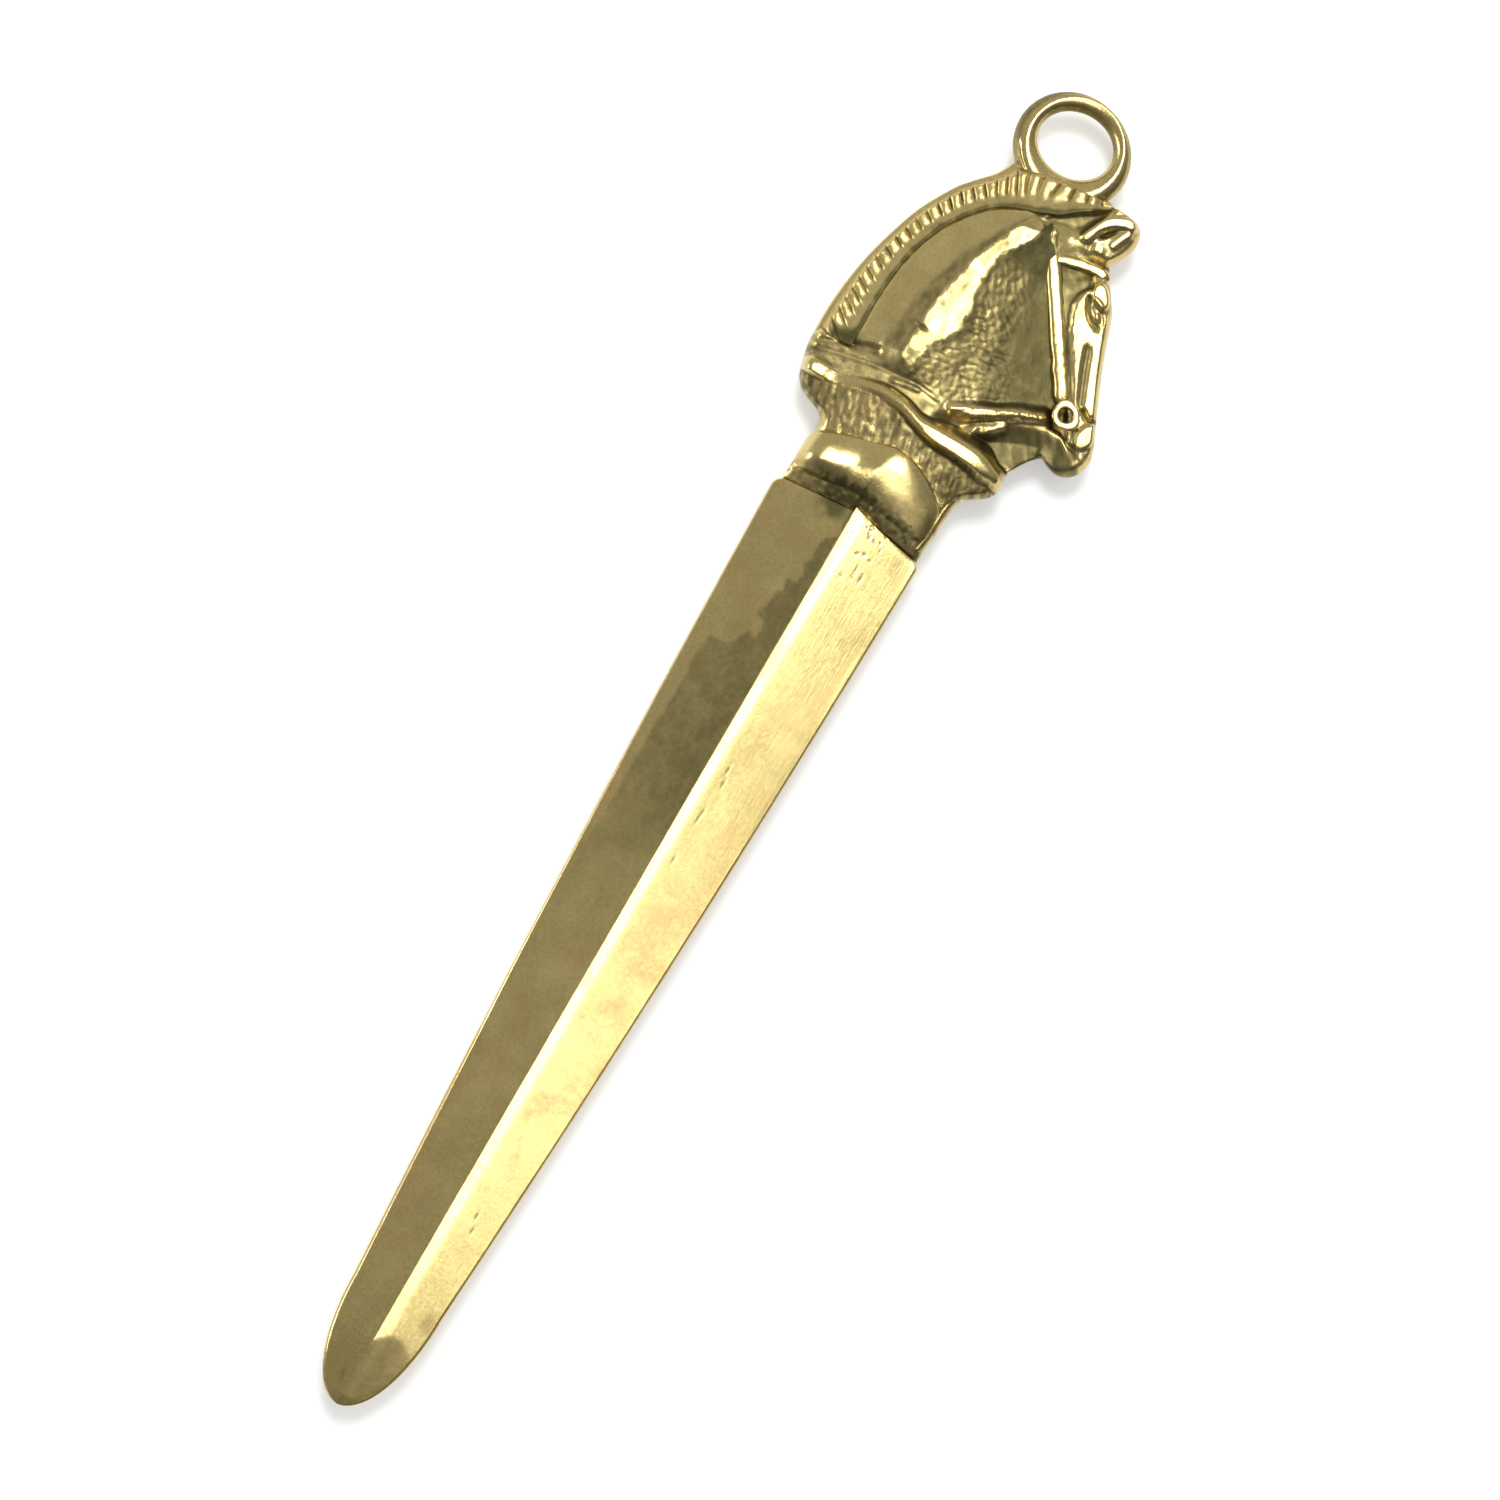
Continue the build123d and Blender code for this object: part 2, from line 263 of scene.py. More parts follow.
def brass(name, stain, polish, grain, scratches=0.0):
    """Material of one brass piece: the aged brass group on the piece's own coordinates, a bump of its
    grain, and where asked long fine scratches along the blade, which are noise drawn out lengthwise."""
    finish = bpy.data.materials.new(name)
    finish.use_nodes = True
    tree = finish.node_tree
    shader = tree.nodes["Principled BSDF"]
    shader.inputs["Metallic"].default_value = 1.0
    place = node(tree, "ShaderNodeTexCoord").outputs["Object"]
    hollow = node(tree, "ShaderNodeAttribute", attribute_name="hollow").outputs["Fac"]
    ends = [("Place", place), ("Hollow", hollow), ("Stain", stain), ("Polish", polish)]
    skin_node = node(tree, "ShaderNodeGroup", ends, node_tree=aged_brass)
    tree.links.new(skin_node.outputs["Colour"], shader.inputs["Base Color"])
    tree.links.new(skin_node.outputs["Roughness"], shader.inputs["Roughness"])
    height = sums(tree, "MULTIPLY", skin_node.outputs["Height"], grain)
    if scratches:
        drawn = node(tree, "ShaderNodeMapping", [("Vector", place), ("Scale", lengthwise)]).outputs[0]
        height = sums(tree, "MULTIPLY_ADD", cloud(tree, drawn, 5000, 3, 0.7), scratches, height)
    bump = node(tree, "ShaderNodeBump", [("Height", height), ("Strength", 0.6), ("Distance", bump_depth)])
    tree.links.new(bump.outputs[0], shader.inputs["Normal"])
    return finish


def fit(thing, finish, material_slot, *stands_for):
    """Gives a piece its finish, sets it on the one rigid body, and hides the solids from model.glb that it
    stands for.
    """
    thing.data.materials.append(finish)
    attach(thing, "root")
    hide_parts(*stands_for)


def blade_half_width(y):
    """Half the blade's width: a slightly bowed taper, closed by half an oval at the tip, with round
    shoulders."""
    share = np.clip(y / point_start, 0, 1)
    taper = shoulder_half + (point_half - shoulder_half) * share + 4 * edge_bow * share * (1 - share)
    tip = np.clip((point_start - y) / (blade_length + point_start), 0, 1)
    corner = corner_radius * (1 - np.sqrt(1 - np.clip(y / corner_radius + 1, 0, 1) ** 2))
    return taper * np.sqrt(1 - tip ** 2) - corner


ridge_pits = [
    (2.6, -33.6), (2.9, -35.2), (2.5, -39.4), (2.4, -40.4), (2.3, -46.0), (3.3, -94.6), (3.7, -96.4),
]
olive_border = [
    (0, 0), (2.6, -0.2), (5.1, -2.0), (8.9, -1.8), (12, -3.6), (15.1, -3.8), (17, -2.8), (18.9, -4.2),
    (20.2, -5.2), (20.7, -7.6), (22, -7.9), (50, -8),
]


def make_blade():
    """Lozenge section carried from the tip to the shoulder: height falls in straight lines from the ridge
    to the edges, more gently just right of the ridge, and thins down over the worn tip. The edges are
    round, and the left one is broken by a flat chamfer towards the tip. Both faces are alike."""
    tip = point_start - (blade_length + point_start) * np.cos(spaced((0, np.pi / 2, 90)))
    y = np.concatenate([tip, spaced((point_start, -4, 230), (-4, -1, 24), (-1, 0, 20)), [0.0]])[:, None]
    strips = [(-1, -0.95, 8), (-0.95, -0.02, 28), (-0.02, 0.55, 56), (0.55, 0.95, 14), (0.95, 1, 8)]
    a = np.append(spaced(*strips), 1.0)
    half = np.maximum(blade_half_width(y), 0.02)
    x = half * a + 0.1 * ease(-40, 0, y) * (1 - np.abs(a))
    ridge = ridge_half + (ridge_half_at_tip - ridge_half) * np.clip(-y / blade_length, 0, 1)
    rise = np.minimum(ridge - edge_half, steepest_rise * half)
    right = np.maximum(half * a, 0)
    u = np.clip((right - gentle_strip) / gentle_fade, 0, 1)
    gentle = gentle_share * (np.minimum(right, gentle_strip) + gentle_fade * (u - u ** 3 + u ** 4 / 2))
    facet = rise * (1 - np.abs(a)) + rise / half * gentle
    spot = -111.7 - 0.27 * np.minimum((x - 2.5) ** 2, 6.3)
    worn = np.sqrt(np.maximum((spot - y) / (spot + blade_length), 0) ** 2 + 0.002) - 0.045
    bevel = np.minimum(bevel_width / half, 0.9)
    over = np.clip((np.abs(a) - 1 + bevel) / bevel, 0, 1)
    rim = np.sqrt(1 - over ** 2)
    rim = np.where(a < 0, rim + (1 - 0.6 * over - rim) * ease(-62, -84, y), rim)
    z = (edge_half + facet) * rim * (1 - 0.5 * worn)
    z = z + rim * 0.012 * unevenness(x / 3.1, y / 9, 5) * (np.abs(a) < 0.93)
    pitted = np.zeros(x.shape)
    for across, down, big, turn in lattice(np.arange(34)[:, None], np.arange(4)[None, :], 9):
        spot_at, size = (0.9 + 4.6 * across, -0.2 - 6.5 * down ** 1.8), 0.14 + 0.2 * big
        pitted = np.maximum(pitted, mound(oval_share(x, y, spot_at, 1.5 * size, size, 200 * turn)))
    for px, py in ridge_pits:
        pitted = np.maximum(pitted, mound(np.hypot((x - px) / 0.32, (y - py) / 0.8)))
    z = z - pit_depth * pitted
    lift = ease(-3, 0, y) * np.where(a > 0, 1.2 - 2.0 * np.abs(a) ** 0.8, 0.6 - 0.6 * np.abs(a))
    wavy = y + 0.7 * unevenness(x / 1.1, y / 1.1, 90)
    near_top = ease(-3, -0.3, wavy) * (0.2 + 0.8 * mound((x + 2.3) / 3.6))
    ragged = (0.25 + 0.45 * ease(-7, -5, x)) * unevenness(x / 0.9, y / 1.3, 91)
    olive = ease(-0.2, 0.5, x - np.interp(-y, *zip(*olive_border)) + ragged) * (a < 0)
    tone = 0.66 + 0.1 * ease(-6, -1, x) + 0.06 * unevenness(x / 0.8, y / 1.5, 92)
    olive = olive * (1 - 0.9 * ease(-38, -66, y)) * tone
    streaky = 0.7 + 0.3 * unevenness(x / 0.3, y / 1.5, 93)
    brush = 0.6 * mound(np.hypot((x + 1.2) / 1.1, (y + 118.8) / 3.2)) * streaky
    dusky = 0.5 * mound(np.hypot((x - 4.6) / 2.0, (y + 108.6) / 3.4))
    crevice = np.maximum.reduce([near_top, olive, brush, dusky, 0.65 * pitted])
    return front_and_back(x, y + lift, z, crevice)


blade = piece("blade_bar", make_blade())
fit(blade, brass("rubbed_brass", 0.55, 0.15, 0.3, 0.3), "blade_brass", "blade")

# Bolster: the swollen oval bead over the blade's shoulder, cast with the rest and hand finished, so that it
# is a little two-lobed. It ends below in a short foot, dark with tarnish, and has a casting fin at right.
bead_keys = [
    (-9.3, 4.0, 5.2, 2.2, 0.1), (-9.0, 4.0, 6.2, 2.1, 1.7), (-8.2, 4.0, 7.1, 1.9, 2.95),
    (-7.0, 4.1, 7.7, 1.8, 3.62), (-5.0, 4.4, 8.5, 2.0, 3.54), (-3.5, 4.8, 9.05, 2.3, 3.36),
    (-2.3, 5.3, 9.4, 2.5, 3.26), (-0.8, 6.0, 9.75, 2.6, 3.36), (0.3, 6.8, 9.9, 2.5, 3.48),
    (1.5, 7.2, 9.85, 2.3, 3.43), (3.0, 7.1, 9.6, 2.0, 3.28), (4.8, 6.4, 9.0, 1.8, 2.95),
    (6.5, 5.5, 8.0, 1.5, 2.5), (8.2, 4.4, 6.6, 1.3, 1.95), (9.2, 3.8, 5.4, 1.4, 1.2),
    (9.6, 3.4, 4.4, 1.8, 0.1),
]
fin_line = [(8.7, 0.3), (9.0, 2.4), (9.1, 4.6), (9.2, 6.4), (9.6, 7.9), (10.6, 9.2)]


def circle(count):
    """Angles spaced evenly once round."""
    return spaced((0, 2 * np.pi, count))


def keep_sign(value, power):
    """A power of a value's size, with the value's own sign."""
    return np.sign(value) * np.abs(value) ** power


def make_bead():
    """Strips up the bolster, carried across it: each climbs from the shoulder over a low foot, dips at the
    crevice, swells to its own apex, sinks a little from there, and rounds over at its upper edge. Both
    faces are alike."""
    x, apex, top, crease, swell = through(bead_keys, 170).T[:, :, None]
    below, above = spaced((0, 1, 70)), np.linspace(0, np.pi / 2, 44)
    start = np.interp(x, [-9.5, -0.3, 0.2, 9.7], [0.0, 0.3, 0.65, -0.75]) - 0.15
    y_below = start + (apex - start) * below ** 0.8
    t = np.clip((y_below - crease) / (apex - crease), 0, 1)
    inside = np.sqrt(np.clip(1 - np.abs(x / 9.62) ** 6, 0.002, 1))
    foot = (1.1 + 0.45 * (np.minimum(y_below, crease) - start)) * inside
    foot = np.minimum(foot, swell) * np.clip((y_below - start) / 0.35 + 0.02, 0, 1) ** 0.5
    dip = 0.07 * np.exp(-((y_below - crease) / 0.5) ** 2)
    pitted = 0.05 * unevenness(x / 0.42, y_below / 0.55, 71) * (1 - ease(0.0, 0.45, t))
    z_below = foot - np.minimum(dip, 0.5 * foot) + pitted * foot / 1.7
    z_below = z_below + (swell - z_below) * (1 - (1 - t) ** 1.5) ** 0.8
    up = (top - apex) * np.sin(above)
    y = np.concatenate([y_below, apex + up], 1)
    bow = np.interp(x, [-6.0, -2.0, 1.0], [0.08, 0.07, 0.075])
    z_above = (swell - bow * up ** 2) * np.sqrt(np.clip(1 - np.sin(above) ** 22, 0, 1))
    z = np.concatenate([np.maximum(z_below, 0.02), z_above], 1)
    z[:, [0, -1]] = 0
    wide = ease(-6.5, -2.5, x) * (1 - ease(7.5, 9.5, x))
    dark = 0.48 + 0.25 * unevenness(x / 0.4, y / 0.5, 73) + 0.5 * wide * (1 - 0.5 * ease(0.5, 2.5, x))
    crevice = np.clip(dark, 0, 1) * (1 - ease(0.3, 2.2, y - crease - 0.5 * unevenness(x / 0.7, 0 * y, 74)))
    crevice = crevice * ease(-0.4, 0.5, y)
    edge = 0.35 * ease(0.75, 1.0, np.clip((y - apex) / (top - apex), 0, 1))
    # Painted shade: the lower right of the bead, below its right lobe, is darkened as if turned from the
    # lights.
    front = 0.6 * ease(1.0, 3.5, x) * (1 - ease(4.0, 6.4, y))
    return front_and_back(x + 0 * y, y, z, np.maximum.reduce([crevice, edge, front]))


def make_fin():
    """Flat oval carried up the right side of the bolster, where the two halves of the mould met."""
    line = through(fin_line, 60)
    turn = circle(28)
    flat = keep_sign(np.sin(turn), 0.5)
    x = line[:, :1] + 0.25 + 0.6 * np.cos(turn)
    y = line[:, 1:] + 0.1 * unevenness(line[:, 1:] / 1.1, 0 * line[:, 1:], 75) + 0 * x
    z = (1.2 - 0.3 * np.cos(turn)) * flat + 0 * x
    return skin(x, y, z), 0.42 + 0.3 * unevenness(x / 0.5, y / 0.7, 76)


bolster = piece("bolster_bead", make_bead(), make_fin())
fit(bolster, brass("smooth_cast_brass", 0.25, 0.2, 0.8), "handle_brass", "bolster_collar")

# Bust: waist, rolled rim, neck, cheek, face and ear of the horse, one casting with both sides alike. Its
# hollows are dark, its high places rubbed bright, and the neck and cheek keep the mould's pitted skin.
# The dark of the cheek, of the hollow beside the neck's streak, of the waist under the rim and of the
# hollow under the jaw is partly painted shade.
mane_inner = [
    (-10.3, 17.4), (-10.3, 20.5), (-10.3, 25.0), (-9.8, 29.5), (-8.9, 32.6), (-7.6, 35.6), (-5.8, 38.2),
    (-4.0, 40.1), (-2.3, 41.2), (-0.6, 41.9), (0.8, 42.4), (2.2, 43.0), (3.6, 43.6), (5.2, 44.8),
    (7.0, 46.0), (8.6, 47.1),
]
rungs = [
    (-8.6, 5.8, 6.4, 9.9, 5.4), (-8.8, 7.2, 7.8, 10.0, 6.8), (-8.95, 8.2, 9.0, 10.35, 7.9),
    (-9.9, 9.05, 10.0, 11.0, 8.65), (-11.6, 9.7, 10.8, 12.1, 9.35), (-12.8, 10.35, 11.5, 13.1, 10.1),
    (-13.55, 11.2, 12.2, 13.7, 11.0), (-13.95, 12.1, 13.0, 13.95, 11.9), (-14.3, 13.2, 13.8, 13.8, 12.7),
    (-14.55, 14.3, 14.7, 13.6, 13.4), (-14.75, 15.5, 15.8, 13.9, 14.2), (-14.8, 17.0, 17.4, 14.4, 15.2),
    (-14.6, 18.6, 19.2, 15.2, 16.35), (-14.3, 20.2, 21.0, 16.0, 17.2), (-14.1, 21.6, 22.4, 16.6, 17.4),
    (-13.95, 22.8, 23.6, 17.3, 16.95), (-13.8, 23.9, 24.6, 18.4, 16.6), (-13.6, 24.9, 25.4, 19.5, 16.7),
    (-13.4, 25.8, 26.1, 20.5, 17.3), (-13.2, 26.8, 26.8, 21.2, 18.3), (-12.9, 28.0, 27.5, 21.5, 19.5),
    (-12.5, 29.3, 28.2, 21.35, 20.7), (-12.1, 30.6, 29.0, 20.9, 22.0), (-11.5, 32.4, 30.4, 19.95, 24.0),
    (-10.6, 34.6, 32.4, 18.6, 27.0), (-9.8, 36.4, 34.2, 17.35, 30.0), (-9.0, 37.8, 36.0, 16.2, 33.0),
    (-8.2, 39.0, 37.6, 15.2, 36.0), (-7.5, 39.9, 38.4, 14.55, 37.1), (-6.9, 40.7, 39.4, 13.2, 39.1),
    (-6.4, 41.3, 40.2, 12.35, 40.35), (-6.0, 41.8, 40.8, 11.95, 41.2), (-5.6, 42.3, 41.4, 12.3, 42.05),
    (-5.2, 42.8, 42.2, 12.9, 43.1), (-4.8, 43.4, 43.0, 13.3, 44.2), (-4.4, 44.0, 43.8, 13.4, 45.3),
    (-4.0, 44.6, 44.4, 13.05, 46.5), (-3.6, 45.2, 44.9, 12.1, 47.35), (-3.2, 45.7, 45.3, 10.2, 47.55),
    (-2.8, 46.2, 45.8, 8.2, 47.65),
]


def spine(y):
    """Where the rungs bend, a line up the middle of the bust that leans under the cheek."""
    return np.interp(y, [6, 14, 18, 22, 26, 30, 36, 42, 46], [0.3, 1.5, 4.0, 7.0, 8.3, 8.0, 6.2, 4.6, 3.2])


def off_line(x, y, keys, count=20):
    """Distance of each point from a smooth line through a few points, as its distance from the nearest of
    the short straight runs between the line's samples. It is positive to the left of the line and negative
    to the right."""
    line = through(keys, count)
    near, side = np.full(x.shape, 1e9), np.ones(x.shape)
    for (ax, ay), (bx, by) in zip(line[:-1], line[1:]):
        dx, dy = bx - ax, by - ay
        t = np.clip(((x - ax) * dx + (y - ay) * dy) / (dx * dx + dy * dy), 0, 1)
        gap = np.hypot(x - ax - t * dx, y - ay - t * dy)
        side = np.where(gap < near, np.sign(dx * (y - ay) - dy * (x - ax)), side)
        near = np.minimum(near, gap)
    return near * side


def bead(x, y, keys, half, height):
    """A rounded bead of metal, or a groove where height is negative, along a smooth line."""
    return height * mound(off_line(x, y, keys) / half)


def higher(a, b, soft):
    """The higher of two heights, eased where they cross."""
    return (a + b + np.sqrt((a - b) ** 2 + soft ** 2)) / 2


def pits(x, y, seed):
    """Cells of a hammered skin: how far each point lies between its nearest scattered seed and the next
    one."""
    i, j = np.floor(x), np.floor(y)
    first, second = np.full(x.shape, 9.0), np.full(x.shape, 9.0)
    for di in (-1, 0, 1):
        for dj in (-1, 0, 1):
            seed_x = i + di + lattice(i + di, j + dj, seed)
            seed_y = j + dj + lattice(i + di, j + dj, seed + 7)
            gap = np.hypot(seed_x - x, seed_y - y)
            second = np.minimum(second, np.maximum(first, gap))
            first = np.minimum(first, gap)
    return second - first


rim_keys = [
    (-14.8, 12.95, 2.5, 1.6, 0.7), (-13.4, 12.95, 3.3, 1.4, 0.7), (-11.5, 12.95, 3.14, 1.3, 0.7),
    (-9.4, 13.15, 2.86, 1.2, 0.7), (-5.0, 14.4, 3.9, 1.0, 0.9), (-1.5, 14.3, 4.45, 1.0, 0.9),
    (1.5, 13.4, 4.66, 1.0, 0.8), (4.0, 12.95, 4.62, 1.1, 0.8), (7.0, 12.85, 4.44, 1.2, 0.8),
    (10.0, 12.75, 4.17, 1.2, 1.1), (12.5, 12.35, 3.55, 1.4, 1.8), (14.0, 12.0, 2.6, 1.4, 2.2),
]


def rim(x):
    """Line of the rolled rim's top, which waves from the back to the front, its height, and its reach above
    and below the line: smooth runs through the keys, read off at x."""
    run = through(rim_keys, 200)
    return [np.interp(x, run[:, 0], run[:, k]) for k in (1, 2, 3, 4)]


streak_keys = [
    (16.0, -4.3, -3.0), (18.0, -4.3, -2.9), (20.0, -4.3, -2.6), (22.0, -4.2, -2.1), (23.5, -4.15, -1.2),
    (25.4, -4.1, -0.4), (27.0, -3.95, -0.3), (29.0, -3.5, -0.5), (31.0, -3.0, -0.8), (33.0, -2.6, -0.85),
    (35.4, -1.8, -0.4), (37.0, -1.0, 0.6), (39.4, 0.0, 2.1), (41.0, 1.0, 2.3), (44.0, 3.0, 3.6),
    (48.0, 5.0, 5.2),
]


def streak(y):
    """Left and right edges of the rubbed streak along the top of the neck: smooth runs through the keys."""
    run = through(streak_keys, 300)
    return np.interp(y, run[:, 0], run[:, 1]), np.interp(y, run[:, 0], run[:, 2])


def rough_skin(x, y):
    """Depth, from 0 to 1, of the cracks between the cells of the pitted skin on the neck's front and the
    cheek: long slanted cells high up, round cobbles low down, fading out towards the streak, the poll and
    the strap."""
    past = x - streak(y)[1]
    bent_x = x + 0.35 * unevenness(x / 1.3, y / 1.3, 14)
    bent_y = y + 0.35 * unevenness(x / 1.3, y / 1.3, 15)
    slant = pits((bent_x * 0.94 + bent_y * 0.34) / 0.8, (bent_y * 0.94 - bent_x * 0.34) / 1.4, 3)
    cobble = pits((bent_x + 0.15 * bent_y) / 1.05, bent_y / 0.95, 5)
    low = 1 - ease(21.5, 25.5, y - 0.25 * x)
    cracks = (1 - ease(0.0, 0.34, slant)) * (1 - low) + (1 - ease(0.0, 0.3, cobble)) * low
    start = 1.3 - 1.6 * (1 - ease(22, 24.5, y))
    where = ease(start - 0.6, start + 0.6, past) * (1 - ease(33.5, 36.5, y)) * ease(15.5, 17.5, y)
    where = where * (1 - 0.9 * ease(4.5, 8.0, past - 0.8 * np.maximum(27 - y, 0)))
    return cracks * where * (0.65 + 0.35 * unevenness(x / 1.6, y / 1.6, 4))


def neck(x, y):
    """Height of the neck and cheek: a rubbed streak along the top, tilted to the right. Left of it the side
    falls through a hollow to the plain flank beside the mane, and to the right more steeply, as far as the
    strap."""
    left, right = streak(y)
    arch = 4.3 - 0.006 * np.maximum(y - 30, 0) ** 2
    steep = 0.19 + 0.03 * ease(21, 27, y)
    past = x - right
    past = past + 0.45 * unevenness(x / 0.6, y / 0.6, 53) * mound(past / 1.4)
    fall = 0.09 * (x - left) + steep * (past - 0.3 + np.sqrt((past - 0.3) ** 2 + 0.04)) / 2
    fall = fall - 0.46 * steep * (past - 5.5 + np.sqrt((past - 5.5) ** 2 + 4)) / 2
    away = left - x + 0.3 * unevenness(x / 0.7, y / 0.7, 54) * mound((x - left) / 0.9)
    side = 0.2 * np.maximum(away, 0) + 0.45 * ease(0.0, 2.4, away)
    dent = 0.25 * mound(oval_share(x, y, (-4.0, 23.4), 1.3, 0.45, -8))
    ripple = 0.03 * unevenness(x / 1.5, y / 2.1, 11) + 0.012 * unevenness(x / 0.62, y / 0.8, 12)
    return arch - np.where(away < 0, fall, side) + ripple - dent - 0.12 * rough_skin(x, y)


def face_lines(x, y):
    """Distances along the face, from the top of the cheek strap to the muzzle, and across it, out to the
    nose."""
    dx, dy = x - 4.6, y - 40.0
    return 0.556 * dx - 0.831 * dy, 0.831 * dx + 0.556 * dy


def face_step(along):
    """How far across the face its raised plane starts: close to the strap below, and far out beside the
    brow."""
    places = [3.0, 4.6, 5.6, 6.3, 7.2, 8.7, 11.0, 26.0]
    return np.interp(along, places, [5.4, 5.0, 4.5, 3.2, 2.45, 1.95, 1.65, 1.6])


def channel(x, y):
    """How far, from 0 to 1, a point lies down in the channel between the cheek strap and the face."""
    along, across = face_lines(x, y)
    step = face_step(along)
    return ease(0.5, 0.9, across) * (1 - ease(step - 0.85, step + 0.1, across)) * ease(1.2, 2.6, along)


bit_middle = (16.15, 23.05)
face_grooves = [
    ([(14.5, 31.2), (15.1, 29.6), (16.0, 27.4), (16.9, 25.2)], 0.7, 0.34),
    ([(17.7, 24.6), (18.7, 24.0), (20.2, 24.5)], 0.55, 0.5),
    ([(11.6, 36.6), (12.1, 35.6), (13.0, 34.5), (14.2, 33.8)], 0.5, 0.32),
    ([(17.0, 21.3), (18.6, 20.0), (20.4, 19.2)], 0.6, 0.25),
]


def face(x, y, ground):
    """The face on its ground: a plane that falls gently to the nose, over a soft step from the channel,
    with the brow, the eye in its socket, the muzzle and the grooves of the cheek bone and the nostril."""
    along, across = face_lines(x, y)
    plane = 2.5 - 0.05 * (along - 6) - 0.085 * (across - 2) + 0.15 * mound((along - 6.5) / 3.0)
    inside = ease(3.2, 4.8, along) * (1 - ease(25.0, 26.6, along))
    floor = plane - 0.42 - 0.25 * (1 - ease(6, 12, along))
    z = ground + (floor - ground) * ease(-0.35, 0.6, across) * inside
    step = face_step(along) + 0.16 * unevenness(x / 0.55, y / 0.7, 33)
    z = z + (plane - z) * ease(step - 0.85, step + 0.15, across) * inside
    for line, half, depth in face_grooves:
        z = z + bead(x, y, line, half, -depth)
    brow = 2.78 - 0.1 * (x - 12.7) + 0.02 * (y - 37.4)
    z = z + (brow - z) * ease(1.0, 0.66, oval_share(x, y, (12.75, 37.35), 2.0, 1.2, -48))
    z = z + bead(x, y, [(11.9, 36.75), (13.0, 36.55), (14.3, 35.6), (14.9, 34.7)], 0.42, 0.16)
    z = z + 0.3 * mound(oval_share(x, y, (13.5, 35.0), 1.0, 0.6, -42))
    muzzle = 2.0 - 0.1 * (x - 19.5) + 0.03 * (y - 22)
    return z + (muzzle - z) * ease(1.0, 0.7, oval_share(x, y, (19.5, 22.0), 2.1, 1.3, 78))


jaw_x = [1, 3.4, 4.6, 7, 9, 11.2, 13.6, 15, 17, 18.3, 19.5, 22]
jaw_line = [(3.9, 17.0), (5.2, 17.5), (7.0, 18.2), (9.0, 19.2), (11.2, 20.4), (13.8, 21.4)]
jaw_flap = [(6.4, 15.6), (7.6, 16.2), (8.8, 17.0), (10.2, 18.3)]


def file_marks(x, y):
    """Unevenness drawn out along the strokes of the file under the jaw."""
    return unevenness((x * 0.8 + y * 0.6) / 0.6, (y * 0.8 - x * 0.6) / 2.2, 21)


def throat(x, y, ground):
    """The hollow under the jaw, streaked from the file, with the jaw's worn edge above it, a torn flap of
    metal along it, the web's lip in front and the round chin."""
    jaw = np.interp(x, jaw_x, [14.6, 16.3, 16.9, 17.6, 18.6, 19.8, 20.9, 21.3, 21.3, 20.4, 19.4, 18.6])
    under = (1 - ease(-0.85, 0.15, y - jaw)) * ease(1.0, 4.0, x)
    sunk = np.maximum(1.7 + 0.36 * (y - jaw), 0.55) + 0.7 * (1 - ease(4, 11, x)) + 0.035 * file_marks(x, y)
    z = ground + (sunk - ground) * under
    off = np.abs(off_line(x, y, jaw_line))
    flat = np.interp(x, [3.8, 6.5, 8.5, 13], [0, 0.34, 0.2, 0.08])
    edge = 3.05 - 0.105 * (x - 4.4) - 0.9 * np.maximum(off - flat, 0) ** 1.4
    edge = edge + 0.07 * unevenness(x / 0.7, y / 0.7, 23) + 0.05 * unevenness(x / 0.3, y / 0.3, 24)
    z = np.where(off < 2.0, higher(z, edge, 0.1), z)
    off = np.abs(off_line(x, y, jaw_flap))
    flap = 2.3 - 0.1 * (x - 6.4) - 1.1 * np.maximum(off - 0.25, 0) ** 1.5
    flap = flap + 0.12 * unevenness(x / 0.75, y / 0.75, 25)
    z = np.where(off < 1.6, higher(z, flap - 0.7 * (1 - ease(6.2, 7.6, x)), 0.15), z)
    z = z + bead(x, y, [(13.5, 13.3), (14.1, 14.6), (15.0, 16.0), (16.3, 17.3)], 0.7, 0.35)
    chin = 0.8 + mound(oval_share(x, y, (19.9, 18.8), 2.8, 2.2, 40))
    z = np.where(x > 15.5, higher(z, chin, 0.3), z)
    return z + 0.4 * mound(oval_share(x, y, (18.0, 20.6), 0.6, 0.5, 0))


def ear_share(x, y):
    """How far, from 0 to 1, a point belongs to the ear, which rises behind the forelock."""
    return ease(-0.4, 0.8, (x - 6.6) * 0.91 - (y - 43.0) * 0.42) * ease(40.4, 42.0, y)


def ear_hollow(x, y):
    """The narrow opening of the ear, 1 at its bottom."""
    return mound(oval_share(x, y, (9.75, 44.35), 1.75, 0.62, 56))


ear_folds = [
    ([(7.7, 42.7), (8.2, 44.2), (9.4, 45.6), (11.0, 46.4), (11.7, 46.5)], 0.36, 2.7),
    ([(10.9, 43.4), (11.3, 44.4), (11.8, 45.4)], 0.25, 2.45),
]


